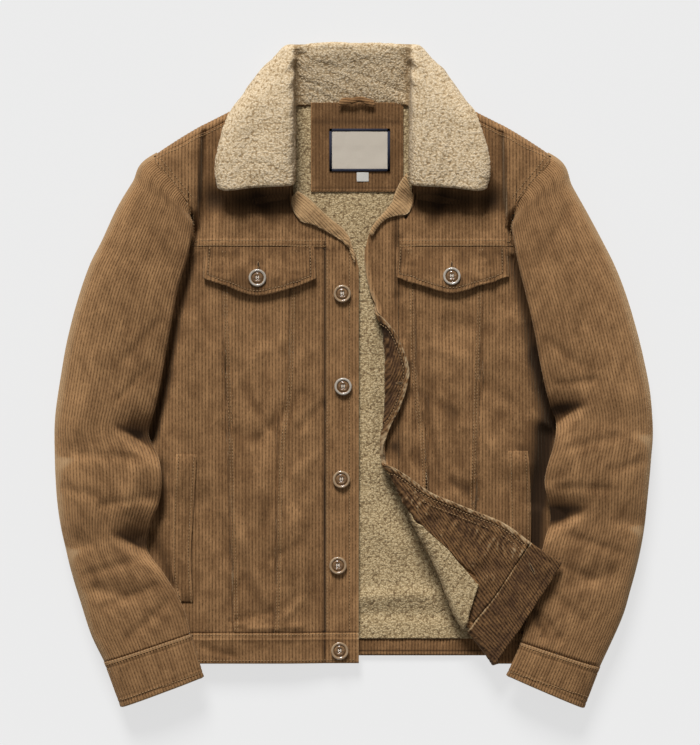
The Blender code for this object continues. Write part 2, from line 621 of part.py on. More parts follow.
def turn_net(rows):
    """The left front's strip from its free edge to its fold line, if it lay flat.

    Its first lines share out the facing, the next two the lining beside it, and the last four the fold.
    """
    y = np.array(rows, float)
    edge = free_edge(y)
    line = np.maximum(bend_line(y), edge + 4)
    bend = np.minimum(np.pi * ROLL / -FOLD_WAY[1], 0.8 * (line - edge))
    start = line - bend
    facing = np.clip((along(FACING_EDGE, y) - edge) / (start - edge), 0.4, 0.95)
    shares = [facing * k / FACING_LINES for k in range(FACING_LINES + 1)] + [(1 + facing) / 2]
    x = [edge + (start - edge) * share for share in shares]
    x += [line - bend * (1 - k / 4) for k in range(5)]
    return np.stack(x), np.broadcast_to(y, (len(x), len(y)))


def add_turned(name, x, y, top, wall, look, jacket, keep=None):
    """A layer of the turned-back front, from one height over its outer face to a lower one."""
    full = np.full_like(x, 1.0)
    add_sheet(name, turned_back(x, y, full * top), turned_back(x, y, full * (top - wall)), look, jacket, keep)


def add_left_edge(jacket):
    """The left placket with its rolled edge, the turned-back corner, and the inside that shows on it."""
    x, y = turn_net(PLACKET_ROWS)
    x = np.concatenate([x, [(x[-1] + SEAM_LEFT) / 2, np.full_like(x[-1], SEAM_LEFT - GAP / 2)]])
    y = np.broadcast_to(y[0], x.shape)
    y = y + ease((y - 100) / 50) * (along(NECK_LEFT, x) - 150)
    add_turned("left_placket", x, y, 0, CLOTH, CORDUROY, jacket)

    x, y = turn_net(HEM_ROWS + CORNER_ROWS)
    add_turned("left_front_turn", x, y, 0, CLOTH, CORDUROY, jacket)

    inside = -(CLOTH + GAP)
    x, y = turn_net(HEM_ROWS)
    add_turned("left_hem_facing", x, y, inside, FACING, CORDUROY_BACK, jacket)

    x, y = turn_net(CORNER_ROWS + PLACKET_ROWS[:FACING_ROWS])
    beside = np.zeros(x.shape, bool)
    beside[:FACING_LINES] = True
    beside |= y > LINING_TOP - 1
    add_turned("left_facing", x, y, inside, FACING, CORDUROY_BACK, jacket, keep=beside)

    x, y = turn_net([y for y in CORNER_ROWS if y < LINING_TOP + 1])
    x, y = x[FACING_LINES:].copy(), y[FACING_LINES:]
    x[0] += GAP
    y = np.where(y > LINING_TOP - 1, y - GAP, y)
    add_turned("left_lining", x, y, inside, PILE, PILE_CLOTH, jacket)


def add_neck_turns(jacket):
    """The turned-out corners of the neckline, which show their inner side."""
    for side, table in (("right", NECK_TURN_RIGHT), ("left", NECK_TURN_LEFT)):
        rows = evenly(table, 12)
        share = np.linspace(0, 1, 4)
        x = rows[:, 2:3] + (rows[:, 0:1] - rows[:, 2:3]) * share
        y = rows[:, 3:4] + (rows[:, 1:2] - rows[:, 3:4]) * share
        rise = GAP + CLOTH + 1.2 + 1.4 * np.sin(np.pi * share) + 0.4 * share
        add_draped(f"{side}_neck_turn", x, y, CLOTH, CORDUROY_BACK, jacket, np.broadcast_to(rise, x.shape))


def add_collar(jacket):
    """One piece of doubled pile cloth round the neck, its fall spread over both shoulders."""
    around, across = 18, 12
    sections = np.stack([evenly(points, across) for points in COLLAR])
    table = np.column_stack([np.arange(len(COLLAR)), sections.reshape(len(COLLAR), -1)]).tolist()
    half = along(table, np.linspace(0, len(COLLAR) - 1, around)).reshape(around, across, 3)
    outer = np.concatenate([half, half[-2::-1] * (-1, 1, 1)])
    outer[..., 2] = np.maximum(outer[..., 2], 0)
    wall = np.where(outer[..., 2:] > 12, COLLAR_WALL, COLLAR_WALL * TUCK_SHARE)
    inner = outer - facings_of(outer) * wall
    inner[..., 2] = np.maximum(inner[..., 2], 0.2)
    add_sheet("collar", outer, inner, PILE_CLOTH, jacket)


def sleeve_wall(table, stations, angle, elbow, wall):
    """A sleeve's outer net and the inner one, a wall's width further in."""
    def net(k, a):
        return sleeve_ring(along(table, k), a, elbow).swapaxes(0, 1)

    step = 0.03
    lengthwise = net(stations + step, angle) - net(stations - step, angle)
    around = net(stations, angle + step) - net(stations, angle - step)
    outer = net(stations, angle)
    normal = np.cross(lengthwise, around)
    normal /= np.linalg.norm(normal, axis=-1, keepdims=True)
    middle = net(stations, np.array([0, np.pi])).mean(0)
    out = np.sign(((outer - middle) * normal).sum(-1, keepdims=True))
    return outer, outer - out * normal * wall


def add_sleeves(jacket):
    """Each sleeve's top and under piece in three lengths, which meet along its two sides, and its cuff."""
    top = np.linspace(SEAM_ANGLE, np.pi - SEAM_ANGLE, 11)
    under = np.linspace(np.pi + SEAM_ANGLE, 2 * np.pi - SEAM_ANGLE, 9)
    whole = np.linspace(0, 2 * np.pi, 19)
    for side, rows, cuff, elbow in (
        ("right", SLEEVE_RIGHT, CUFF_RIGHT, ELBOW_RIGHT), ("left", SLEEVE_LEFT, CUFF_LEFT, ELBOW_LEFT),
    ):
        last = len(rows) - 1
        table = [(k, *row) for k, row in enumerate(rows)]
        ends = np.linspace(0, last, len(LENGTHS) + 1)
        for length, start, end in zip(LENGTHS, ends, ends[1:]):
            stations = np.linspace(start + STATION_GAP, end - STATION_GAP, 9)
            for name, angle in (("top", top), ("under", under)):
                outer, inner = sleeve_wall(table, stations, angle, elbow, CLOTH)
                add_sheet(f"{side}_sleeve_{name}_{length}", outer, inner, CORDUROY, jacket)
        table.append((last + 1, *cuff))
        outer, inner = sleeve_wall(table, np.linspace(last + STATION_GAP, last + 1, 3), whole, elbow, BAND)
        add_sheet(f"{side}_cuff", outer, inner, CORDUROY, jacket, closed=True)


def add_flaps_and_welts(jacket):
    for side, edge in (("right", FLAP_RIGHT), ("left", FLAP_LEFT)):
        ends = (edge[0][0], edge[-1][0])
        x = np.concatenate([[ends[0]], np.linspace(ends[0] + 4, ends[1] - 4, 10), [ends[1]]])
        x, y = columns_net(x, along(edge, x), np.full_like(x, FLAP_TOP), 5)
        rise = CLEAR + FLAP_WALL + (FLAP_TOP - y) / 60
        add_draped(f"{side}_pocket_flap", x, y, FLAP_WALL, CORDUROY, jacket, rise)
    for side, table in (("right", WELT_RIGHT), ("left", WELT_LEFT)):
        y = np.linspace(table[0][0], table[-1][0], 10)
        low, high = along(table, y).T
        x, y = rows_net(low, high, y, 4)
        add_draped(f"{side}_pocket_welt", x, y, WELT_WALL, CORDUROY, jacket, CLEAR + WELT_WALL)


def add_buttons(jacket):
    """Turned discs with a raised rim, tilted with the cloth that they lie on."""
    dish = BUTTON_THICK - 1.2
    profile = [
        (0, dish), (BUTTON_RADIUS - 3.4, dish), (BUTTON_RADIUS - 1.8, BUTTON_THICK),
        (BUTTON_RADIUS - 0.5, BUTTON_THICK - 0.4), (BUTTON_RADIUS - 2.4, 0), (0, 0),
    ]
    for name, x, y, lies_on in BUTTONS:
        bm = bmesh.new()
        points = [bm.verts.new((r * MM, 0, z * MM)) for r, z in profile]
        for first, second in zip(points, points[1:]):
            bm.edges.new((first, second))
        disc = add_piece(name, bm, HORN, jacket)
        turn = disc.modifiers.new("Turned", "SCREW")
        turn.steps = BUTTON_SIDES
        turn.render_steps = BUTTON_SIDES
        turn.use_merge_vertices = True
        turn.merge_threshold = 0.00001
        step = 6.0
        slope_x = (front_height(x + step, y) - front_height(x - step, y)) / (2 * step)
        slope_y = (front_height(x, y + step) - front_height(x, y - step)) / (2 * step)
        disc.rotation_euler = (np.arctan(slope_y), -np.arctan(slope_x), 0)
        disc.location = (x * MM, y * MM, (front_height(x, y) + lies_on + CLEAR) * MM)


def build():
    for old in list(bpy.data.objects):
        bpy.data.objects.remove(old)
    jacket = bpy.data.collections.new("corduroy_jacket")
    bpy.context.scene.collection.children.link(jacket)
    add_back(jacket)
    add_lining(jacket)
    add_front_panels(jacket)
    add_front_yokes(jacket)
    add_right_placket(jacket)
    add_hem_bands(jacket)
    add_left_edge(jacket)
    add_neck_turns(jacket)
    add_collar(jacket)
    add_hanger_loop(jacket)
    add_sleeves(jacket)
    add_flaps_and_welts(jacket)
    add_buttons(jacket)


build()
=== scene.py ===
"""Looks of a brown corduroy trucker jacket with pile collar and lining, laid out with its front up.

Sizes are in millimetres until a mesh is made: x runs to the wearer's left, y runs towards the collar,
and z is the height above the surface that the jacket lies on.
"""

import bmesh
import bpy
import numpy as np
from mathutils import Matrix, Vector


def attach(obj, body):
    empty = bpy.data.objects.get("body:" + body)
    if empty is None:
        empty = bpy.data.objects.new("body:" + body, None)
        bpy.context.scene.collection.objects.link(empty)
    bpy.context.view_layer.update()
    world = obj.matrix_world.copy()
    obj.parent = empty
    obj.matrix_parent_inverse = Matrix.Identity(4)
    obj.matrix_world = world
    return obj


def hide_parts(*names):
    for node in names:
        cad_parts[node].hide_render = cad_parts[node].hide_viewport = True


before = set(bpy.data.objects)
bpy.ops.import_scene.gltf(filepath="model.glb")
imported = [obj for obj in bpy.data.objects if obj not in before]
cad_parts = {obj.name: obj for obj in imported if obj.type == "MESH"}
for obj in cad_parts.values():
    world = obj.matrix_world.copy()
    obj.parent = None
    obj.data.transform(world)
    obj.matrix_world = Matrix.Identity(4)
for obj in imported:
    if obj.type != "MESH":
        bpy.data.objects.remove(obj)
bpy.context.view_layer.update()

MM = 0.001

# Cloth, as walls
CLOTH = 2.0
BAND = 3.2
FACING = 1.7
PILE = 5.0
COLLAR_WALL = 7.0
TUCK_SHARE = 0.55
GAP = 0.3
LABEL_WALL = 0.8
TAB_WALL = 0.5
LOOP_HIGH = 12.6
LOOP_ARCH = 2.5

# The nets of points
HIDDEN_STEP = 3  # a wall's hidden face keeps every third line of its outer face
FLAT_STEP = 8  # and every eighth where the wall is flat
CORD_LINES = 3  # lines of a net from one cord to the next
FINE_LINES = 4  # and beside a seam that slants
COLLAR_ROUND, COLLAR_ACROSS = 560, 114
SLEEVE_ROWS = {"top": 230, "under": 48}
LINING_ROWS = 432
LINING_LINE = 1.45  # from one column of the lining to the next, where it shows

# The weave and the pile
WALE = 3.9  # from one cord to the next, on the body
SLEEVE_WALE = 3.7
CORD_HIGH = 0.42
REVERSE_WALE = 3.1
FACING_WALE = 3.3
FACING_SLANT = 0.4  # how far the facing's cords move over for each step along y
CUFF_WALES = 66  # all round
WELT_WALES = 6
TUFT = 3.5  # across one curl of the pile
TUFT_HIGH = 0.65

# The laid-out body
PLACKET = 39
EDGE_RIGHT = 7.5
SEAM_RIGHT = PLACKET - EDGE_RIGHT
SEAM_LEFT = 54
HEM_SEAM = -302
HEM_FRONT = -338
HEM_SEAM_BACK = -307
HEM_BACK = -330
YOKE_SEAM = 155
YOKE_EDGE = 150.4  # where the yoke's folded edge lies on the panels
NECK_SEAM = 317
YOKE_BAND, PANEL_BAND, HEM_BAND = 9.5, 6.5, 8  # how wide the doubled cloth of the seams is
PLACKET_ROW = 11  # the placket's second row of stitches, from its edge
BACK_BAND = 5.0
CENTRE_HIGH = 13.0
SIDE_HIGH = 8.6
SIDE_ROLL = 45
BACK_ROLL = 14
SHOULDER_ROLL = 24
SHOULDER_SEAM = 9
SHOULDER_SEAM_TIP = 4
SHOULDER_MID = 12
SHOULDER_TILT = 0.85
ROUND = 2.6
SHOULDER_STEP = 14
STEP_RUN = 7
LINING_IN = 18
LINING_FOOT = -309.5

# The turned-back front
ROLL = 2.5
FOLD_START = (42.0, -103.0)
FOLD_WAY = (0.4831, -0.8756)
FOLD_SHARE = -95
FOLD_BULGE = 9.0
FOLD_BULGE_AT = -276
CORNER_LIFT = 23
EDGE_AT_HEM = 24
PLACKET_FOOT = -124.0  # where the fold line passes the placket's seam
LINING_TOP = -154
HEM_FACING_TOP = -294.3
FACING_FOOT = -293.7

# Sleeves
SLEEVE_MID = 17
SLEEVE_REST = 12
SLEEVE_CLEAR = 0.8  # between a sleeve's underside and the body under it
SLEEVE_BRIDGE = 3  # how far past the body's edge the underside keeps the edge's height
SLEEVE_DROP = 45
CUFF_GAP = 0.01  # a share of a table row
MIDDLE_ROW = 7  # of the sleeves' tables: its section sets how many cords a piece has
LENGTHS = ["upper", "elbow", "forearm"]
TUCK_ROW = 0.16  # the sleeve's head is tucked under the yoke by this share of a table row

# Trims
BUTTON_RADIUS = 10.3
BUTTON_THICK = 3.4
FLAP_TOP = 150.2
FLAP_WALL = 2.6
CLEAR = 1.5
WELT_WALL = 1.6
STITCH = 3.1  # length of a stitch, as it shows
STITCH_STEP = 3.7  # from one stitch to the next
SMALLEST_CUT = 0.0101  # metres, the smallest side that a cut is given
EDGE_WEAR_AND_HIGHLIGHT = 1.25  # how much paler the cloth is along its free edges: partly rubbed nap, partly a painted highlight

# The studio, in metres
CAMERA_HIGH = 3.1  # above the level that is framed
CAMERA_LEVEL = 0.025
CAMERA_PLACE = (-0.0029, 0.0035)
FRAME_WIDE = 0.819
FILL = 0.24
FLOOR_GLOW = 0.68
KEY_FROM = (-0.13, 0.83, 0.54)  # the way to the key light, which is as wide as a large window
KEY_WIDE = 0.36
KEY_POWER = 4.2

BODY_EDGE = [
    (-345, 245), (-300, 249), (-216, 262), (-64, 256), (12, 249), (88, 235), (130, 218),
    (155, 204), (175, 193), (190, 190), (203, 194), (219, 206), (234, 218), (252, 232),
]
BODY_CROWN = [(-340, 19), (-300, 21), (-200, 25), (-60, 27), (60, 26), (155, 24), (250, 23), (320, 22)]
SHOULDER_LINE = [(60, 355), (105, 332), (149, 308), (176, 294), (211, 273), (230, 260), (246, 246)]
TIP_SLANT = 5
ARMHOLE_FOOT = (181, 189)
ARMHOLE_TIP = (231, 249)
STEP_EDGE = [(133, 191), (160, 185), (192, 180), (215, 178), (262, 176), (300, 174)]
OUTER_SEAM = [(155, 154), (102, 152), (-64, 146), (-302, 139)]
INNER_SEAM = [(155, 70), (100, 72), (-29, 78), (-71, 84), (-217, 89), (-302, 92)]
NECK_RIGHT = [(76, 322), (70, 222), (51, 205), (32, 187), (11, 171), (2, 156), (-4, 140), (-8, 124)]
NECK_LEFT = [(76, 322), (70, 224), (50, 206), (42, 198), (34, 188), (26, 178), (20, 168), (15, 150)]
ROLL_LINE = [
    (171, 19, 8), (141, 14, 6), (110, 17.5, 12), (94, 22, 20.5), (77, 29, 32), (64, 27, 37), (50, 23.5, 41),
    (34, 20, 43), (18, 16, 44), (4, 14.5, 44.5), (-10, 15.5, 44), (-26, 18, 43), (-42, 22.5, 42),
    (-56, 28, 41), (-70, 31.5, 40), (-83, 33, 39.5), (-105, 36, 41),
]
FACING_EDGE = [
    (-150, 60), (-158, 65), (-169, 71.5), (-184, 76), (-219, 82), (-241, 87), (-262, 90), (-294, 97),
]

# Broad folds of the fronts: x, y of both ends, half width, height
BODY_FOLDS = [
    (-160, 150, -150, 30, 16, 4), (-120, 90, -128, -60, 20, -4), (-190, 60, -205, -120, 16, 4),
    (-60, 60, -70, -150, 14, -3), (-110, -120, -60, -240, 18, 4), (-170, -150, -120, -270, 16, -4),
    (150, 150, 160, 20, 16, 4), (110, 60, 88, -60, 14, -4), (88, -60, 108, -135, 9, -5),
    (190, 60, 205, -100, 15, 4), (125, 20, 135, -120, 18, 4), (175, -130, 215, -260, 16, -3),
]
# The creases between them, likewise
BODY_CREASES = [
    (-176, 140, -170, 40, 6, -1.8), (-140, 60, -136, -10, 7, 1.6), (-98, 60, -104, -40, 8, -1.5),
    (-62, 20, -58, -70, 6, 1.4), (-150, -40, -118, -120, 7, -1.6), (-92, -90, -66, -170, 7, 1.6),
    (-130, -190, -104, -262, 6, 1.5), (-50, -180, -44, -280, 6, -1.2), (-76, -250, -70, -298, 5, 1.2),
    (-165, -240, -172, -296, 6, 1.4), (-120, 230, -95, 180, 9, -1.8), (-150, 240, -140, 175, 8, 1.6),
    (74, 70, 66, 0, 6, -1.8), (104, 70, 96, 5, 6, 1.6), (76, 0, 62, -70, 6, 1.8),
    (70, -20, 78, -110, 5, -2.0),
    (112, -10, 120, -100, 8, -1.5), (150, -20, 158, -140, 7, 1.5), (98, -120, 130, -150, 6, 1.4),
    (170, 140, 164, 60, 6, -1.5), (60, 130, 62, 60, 5, -1.6), (110, 230, 96, 180, 9, -1.8),
    (148, 240, 142, 170, 8, 1.6),
    (-60, -22, -108, -74, 7, -2.4), (-128, -14, -98, -62, 6, -1.8), (-34, -34, -62, -62, 5, -1.8),
    (-80, 44, -120, 18, 9, 1.6), (-150, -66, -108, -78, 8, -1.8), (-86, -128, -104, -178, 7, -2.0),
    (-46, -96, -70, -116, 6, 1.5), (-152, -150, -126, -196, 8, 1.8), (-60, -196, -96, -214, 7, -1.6),
    (-142, -288, -94, -276, 4, -2.4), (-128, -238, -146, -272, 6, -1.6), (-58, -262, -84, -288, 5, 1.6),
    (-176, -318, -140, -328, 4, -2.0), (-120, -296, -60, -294, 4, 1.5), (-100, 120, -72, 104, 5, 0.8),
    (84, -24, 120, -46, 7, -1.8), (96, 34, 132, 20, 8, 1.6), (72, -96, 100, -128, 6, -2.2),
    (118, -124, 146, -138, 6, -2.2), (134, -60, 168, -88, 8, 1.8), (150, -8, 186, -34, 8, -2.0),
    (176, -50, 200, -92, 8, -2.0), (122, 60, 160, 52, 8, -1.4), (88, -60, 89, -61, 8, 3.6),
    (51, 160, 53, 92, 5, -4.0), (53, 92, 60, 44, 4, -2.6), (38, 152, 40, 96, 6, 1.8),
]
# The hollows in the fronts beside the collar, the shoulders and the sleeves, likewise; their depth also
# darkens the fronts as painted shade
HOLLOWS = [
    (-176, 279, -178, 258, 4, -1.6), (-178, 258, -180, 212, 4.5, -2.2), (-180, 212, -191, 140, 5, -3),
    (-190, 134, -206, 70, 7, -6),
    (-208, 64, -218, 8, 7, -7), (-219, 2, -236, -74, 8, -8), (-226, -110, -226, -165, 8, -5),
    (-236, -190, -210, -250, 8, -6), (176, 279, 178, 258, 4, -1.6), (178, 258, 180, 212, 4.5, -2.2),
    (180, 212, 190, 140, 5, -3),
    (190, 134, 206, 66, 9, -8), (208, 60, 221, -8, 10, -9), (223, -14, 238, -60, 11, -10),
    (230, -70, 218, -150, 15, -12), (218, -150, 214, -206, 14, -9), (-156, 206, -72, 206, 15, -9),
    (72, 206, 158, 206, 15, -9),
]

# Painted shade where the fronts lie in shade, likewise, with how dark in place of a height; the few rows
# above 0 are painted light
SHADES = [
    (72, 36, 68, -20, 9, -0.4), (60, -52, 50, -84, 9, -1.0), (50, -84, 62, -104, 8, -1.0),
    (86, -30, 102, -112, 5, -0.9), (68, 12, 94, -14, 5, -0.8), (100, -120, 150, -146, 7, -0.6),
    (-150, 204, -76, 204, 18, -0.7), (76, 204, 150, 204, 18, -0.7), (-168, 286, -170, 196, 9, -0.9),
    (168, 286, 170, 196, 9, -0.9), (-176, 286, -179, 205, 2.5, -0.9), (176, 286, 178, 196, 3.5, -0.7),
    (186, 150, 212, 20, 10, -0.6),
    (216, 20, 226, -60, 12, -0.8), (222, -60, 214, -200, 14, -0.9), (190, -90, 192, -190, 12, -0.4),
    (-184, 140, -214, 0, 7, -0.6), (-216, -10, -234, -70, 8, -0.6), (-224, -110, -216, -240, 8, -0.5),
    (-40, 150, -46, 96, 6, -0.6), (-52, 60, -56, -30, 5, -0.4), (-34, -120, -38, -300, 5, -0.4),
    (-146, 88, -140, 40, 10, 0.3), (-100, 40, -92, -60, 14, 0.3), (120, 80, 126, 10, 14, 0.25),
    (-156, 182, -70, 180, 14, -0.3), (70, 180, 156, 182, 14, -0.3), (206, 20, 204, -190, 16, -0.35),
    (112, 60, 108, -110, 36, -0.15),
    (-104, -290, -60, -296, 5, -0.6), (-140, -120, -100, -280, 40, -0.35), (-150, -322, -100, -318, 8, -0.6),
    (-60, -325, -36, -320, 8, -0.5), (-215, -318, -190, -326, 8, -0.5), (120, -40, 150, -140, 30, -0.3),
    (-190, -200, -180, -296, 9, -0.5),
]

SLEEVE_RIGHT = [
    (-238.5, 256, -186, 194, 38), (-258, 226, -186, 174, 43), (-276, 196, -192, 140, 47),
    (-294, 157, -202, 107, 49), (-308, 129, -207, 84, 51), (-322, 88, -212, 56, 51),
    (-334, 42, -218, 23, 51), (-342, -3, -224, -11, 50), (-347, -36, -230, -38, 50),
    (-349, -60, -238, -68, 49), (-349, -86, -226, -97, 51), (-348, -118, -222, -120, 52),
    (-346, -146, -225, -147, 51), (-342, -175, -236, -176, 48), (-335, -207, -240, -203, 46),
    (-327, -238, -222, -228, 46), (-318, -267, -208, -250, 45), (-306, -304, -196, -274, 43),
    (-291, -335, -189, -301, 41),
]
SLEEVE_LEFT = [
    (238.5, 256, 186, 194, 38), (258, 221, 186, 172, 43), (276, 189, 193, 132, 47),
    (293, 157, 201, 99, 49), (308, 127, 207, 74, 51), (321, 93, 213, 46, 51),
    (333, 53, 218, 18, 51), (341, 20, 224, -11, 50), (348, -15, 231, -36, 50),
    (351, -44, 238, -55, 49), (352, -70, 235, -80, 51), (350, -95, 227, -106, 52),
    (348, -120, 224, -127, 51), (345, -150, 229, -150, 48), (342, -178, 231, -170, 46),
    (336, -211, 224, -192, 46), (326, -250, 216, -226, 45), (315, -286, 208, -262, 43),
    (290, -341, 197, -311, 41),
]
CUFF_RIGHT = (-271, -389, -174, -353, 36)
CUFF_LEFT = (271, -390, 180, -351, 36)
# Folds at the elbow, which fade out from the sleeve's inner side: x, y at that side and where they end,
# how far they slope on the side of the collar and on the other, depth
PINCHES = [
    (-232, -88, -284, -50, 30, 7, 24), (-236, -208, -286, -178, 26, 7, 22), (-349, -96, -270, -78, 24, 9, 5),
    (-222, -148, -266, -128, 14, 7, 4), (-340, -204, -276, -186, 18, 8, 5),
    (-296, -250, -212, -262, 14, 9, 4),
    (232, -60, 276, -26, 24, 7, 24), (224, -180, 280, -150, 28, 7, 22), (351, -70, 280, -46, 24, 9, 5),
    (226, -122, 268, -108, 12, 7, 3), (344, -176, 276, -160, 18, 8, 5), (298, -232, 216, -250, 14, 9, 4),
]
PINCHED_ROWS = [(8.9, 10.2), (13.6, 15.0)]  # the rows of the sleeves' tables that the deepest folds cross
# Where the sleeves lie in shade, as for the fronts
SLEEVE_SHADES = [
    (-274, -59, -250, -70, 5, -1.0), (-256, -58, -243, -74, 9, -0.5), (-272, -184, -252, -200, 5, -1.0),
    (-262, -180, -244, -196, 8, -0.5), (238, -40, 262, -34, 6, -1.0), (232, -158, 262, -155, 7, -1.2),
    (226, -166, 246, -166, 7, -1.0), (-328, -80, -296, -76, 6, -0.5), (-306, -98, -290, -112, 7, -0.5),
    (292, -60, 318, -70, 8, -0.35), (-240, 0, -262, 40, 10, -0.35), (-330, -176, -300, -196, 9, -0.3),
    (300, -60, 282, -300, 45, -0.25), (252, -200, 300, -190, 9, -0.3), (-206, -262, -214, -286, 6, -0.5),
    (206, -250, 214, -290, 7, -0.8),
]
# Soft ridges of the sleeves between those: x, y of both ends, half width, depth
ELBOW_RIGHT = [(-262, -150, -250, -110, 10, -3), (-300, 20, -318, -60, 14, -2)]
ELBOW_LEFT = [(262, -132, 252, -80, 10, -3), (300, 20, 318, -60, 14, -2)]
# Creases of the sleeves between those, likewise
CREASES_RIGHT = [
    (-250, 200, -215, 130, 7, 2.0), (-280, 150, -262, 60, 9, 1.6), (-226, 60, -262, 20, 6, 1.8),
    (-236, 10, -270, -26, 5, 1.8), (-300, 60, -318, -20, 8, 1.4), (-250, -96, -310, -92, 6, 1.8),
    (-232, -142, -290, -150, 6, 2.0), (-300, -140, -336, -130, 6, 1.6), (-250, -214, -310, -232, 6, 2.0),
    (-226, -244, -290, -270, 6, 1.8), (-212, -262, -262, -306, 6, 1.8), (-300, -250, -296, -300, 6, 1.4),
]
CREASES_LEFT = [
    (252, 196, 216, 128, 7, 2.0), (284, 140, 268, 60, 9, 1.6), (226, 40, 264, 12, 6, 1.8),
    (240, -10, 280, -6, 5, 1.8), (306, 50, 322, -10, 8, 1.4), (250, -84, 310, -70, 6, 1.8),
    (236, -130, 296, -132, 6, 2.0), (300, -110, 338, -100, 6, 1.6), (250, -186, 312, -206, 6, 2.0),
    (226, -212, 292, -244, 6, 1.8), (216, -240, 270, -286, 6, 1.8), (304, -240, 300, -296, 6, 1.4),
    (206, -262, 224, -304, 5, 4.5), (218, -276, 242, -308, 4, 3.0),
]

# The collar's sections, from its right front end to the centre of the back, over the roll and down the
# fall; between the wings the stand lies low and climbs steeply to the roll
COLLAR = [
    [(-66, 224, 26), (-68, 222, 33), (-70, 221, 41), (-112, 218.5, 46), (-154, 215.5, 43), (-158, 217, 38)],
    [(-66, 250, 26), (-68, 250, 34), (-70, 250, 42), (-115, 247, 47), (-157, 241, 43), (-162, 240, 38)],
    [(-66, 285, 23), (-68, 285, 33), (-70, 285, 42), (-112, 280, 45), (-153, 273, 40), (-157.5, 272, 35)],
    [
        (-66, 309, 15), (-68, 314, 25), (-70, 318, 41), (-103, 315, 43), (-138, 309, 35), (-143, 309, 29),
        (-142, 311, 24),
    ],
    [
        (-64.5, 317, 11), (-67, 334, 14), (-68.5, 341, 19), (-70, 346, 37), (-95, 344, 36), (-119, 341, 21),
        (-122, 339, 9), (-117, 331, 0),
    ],
    [
        (-53, 317.6, 9), (-65, 350, 15), (-68.5, 362, 20), (-70.5, 369, 32), (-86, 368, 28),
        (-101, 365.5, 14), (-101, 361, 3), (-91, 345, 0),
    ],
    [
        (-36, 317.6, 8.6), (-56, 362, 18), (-63, 376, 22), (-68, 383, 26), (-74, 387, 20), (-76, 388.5, 12),
        (-74, 381, 1), (-66, 347, 0),
    ],
    [
        (-18, 317.6, 8.6), (-29, 362, 17.5), (-33, 382, 21.5), (-34, 388, 20.5), (-35, 390.4, 16),
        (-35, 391, 10), (-34, 381, 1), (-30, 328, 0),
    ],
    [
        (0, 317.6, 8.6), (0, 362, 17.5), (0, 382, 21.5), (0, 388, 20.5), (0, 390.4, 16), (0, 391, 10),
        (0, 381, 1), (0, 325, 0),
    ],
]
NECK_TURN_RIGHT = [
    (-64, 218, -72, 211), (-57, 213, -72, 198), (-50, 207, -64, 183), (-37, 194, -44, 175),
    (-23, 182, -29, 167), (-10, 172, -16, 159), (-2, 160, -7, 152), (2, 147, -2, 143), (4, 134, 1.5, 132),
]
NECK_TURN_LEFT = [
    (19, 168, 24, 163), (26, 179, 31, 174), (36, 190, 41, 183), (45, 201, 50, 186),
    (49, 212, 65, 189), (55, 225, 72, 206), (64, 238, 66, 228),
]
FLAP_RIGHT = [(-173, 114), (-153, 105.5), (-127, 96.5), (-109, 93.2), (-92, 96), (-70, 102.5), (-44, 113)]
FLAP_LEFT = [(51, 116), (78, 106), (101, 98.5), (116, 95.8), (131, 98.5), (153, 105.5), (181, 115)]
WELT_RIGHT = [(-266, -203, -186), (-219, -211, -189), (-171, -211, -187), (-92, -206, -182)]
WELT_LEFT = [(-215, 185, 208), (-171, 184, 208), (-88, 182, 205)]
BUTTONS = [
    ("button_1", -12, 96, 0), ("button_2", -11, -13, 0), ("button_3", -13, -122, 0),
    ("button_4", -17, -223, 0), ("button_5", -15, -323, 0),
    ("flap_button_right", -111, 114, 3.9), ("flap_button_left", 116, 116, 3.9),
]
# Buttons whose rims are given a paler material, as painted reflections
GLINTING_BUTTONS = ("button_2", "flap_button_right", "flap_button_left")
NECK_FACING = (-49, 216, 60, 321)
# The pile lining's soft folds: x, y of both ends, half width, height
LINING_FOLDS = [
    (-10, -262, 120, -256, 9, 2.6), (0, -280, 130, -282, 8, -1.6), (20, 140, 22, -120, 9, 1.6),
    (48, -130, 92, -250, 12, -2.0), (10, -170, 60, -200, 14, 1.4), (30, 60, 34, -60, 7, -1.0),
]
# Buttonholes: x, y of both ends, height over the front, and whether they lie on the turned-back front
BUTTONHOLES = [
    (-110, 126, -110, 133, 6.5, False), (116, 126, 116, 133, 6.5, False), (19, -8.8, 29.5, -8.8, 0, True),
    (45, -305.5, 52.5, -318, 0, True),
]
LABEL = (-27, 240, 44, 290)
LABEL_BORDER = 2.7
SIZE_TAB = (5, 228, 19, 239)
HANGER_LOOP = (-16, 316, 26, 324)


# Curves and soft noise


def along(rows, station):
    """Smooth values at a station of a table whose first column holds the stations."""
    table = np.array(sorted(rows), float)
    stations, values = table[:, 0], table[:, 1:]
    slopes = np.gradient(values, stations, axis=0)
    at = np.clip(np.asarray(station, float), stations[0], stations[-1])
    k = np.clip(np.searchsorted(stations, at, side="right") - 1, 0, len(stations) - 2)
    step = (stations[k + 1] - stations[k])[..., None]
    t = (at - stations[k])[..., None] / step
    smooth = (
        (2 * t**3 - 3 * t**2 + 1) * values[k]
        + (t**3 - 2 * t**2 + t) * step * slopes[k]
        + (3 * t**2 - 2 * t**3) * values[k + 1]
        + (t**3 - t**2) * step * slopes[k + 1]
    )
    return smooth[..., 0] if values.shape[1] == 1 else smooth


def reaches(rows, value, low, high):
    """The station between low and high where a table's smooth value falls to each value given."""
    stations = np.linspace(low, high, 400)
    values = along(rows, stations)
    order = np.argsort(values)
    return np.interp(value, values[order], stations[order])


def ease(t):
    """0 to 1, with soft ends."""
    t = np.clip(t, 0, 1)
    return t * t * (3 - 2 * t)


def bell(past, width):
    """1 in the middle, and soft towards 0 on both sides."""
    return np.exp(-((past / width) ** 2))


def rounding(t):
    """A rounded edge: 0 at the edge and 1 a full roll in from it."""
    return (1 - (1 - np.clip(t, 0, 1)) ** ROUND) ** (1 / ROUND)


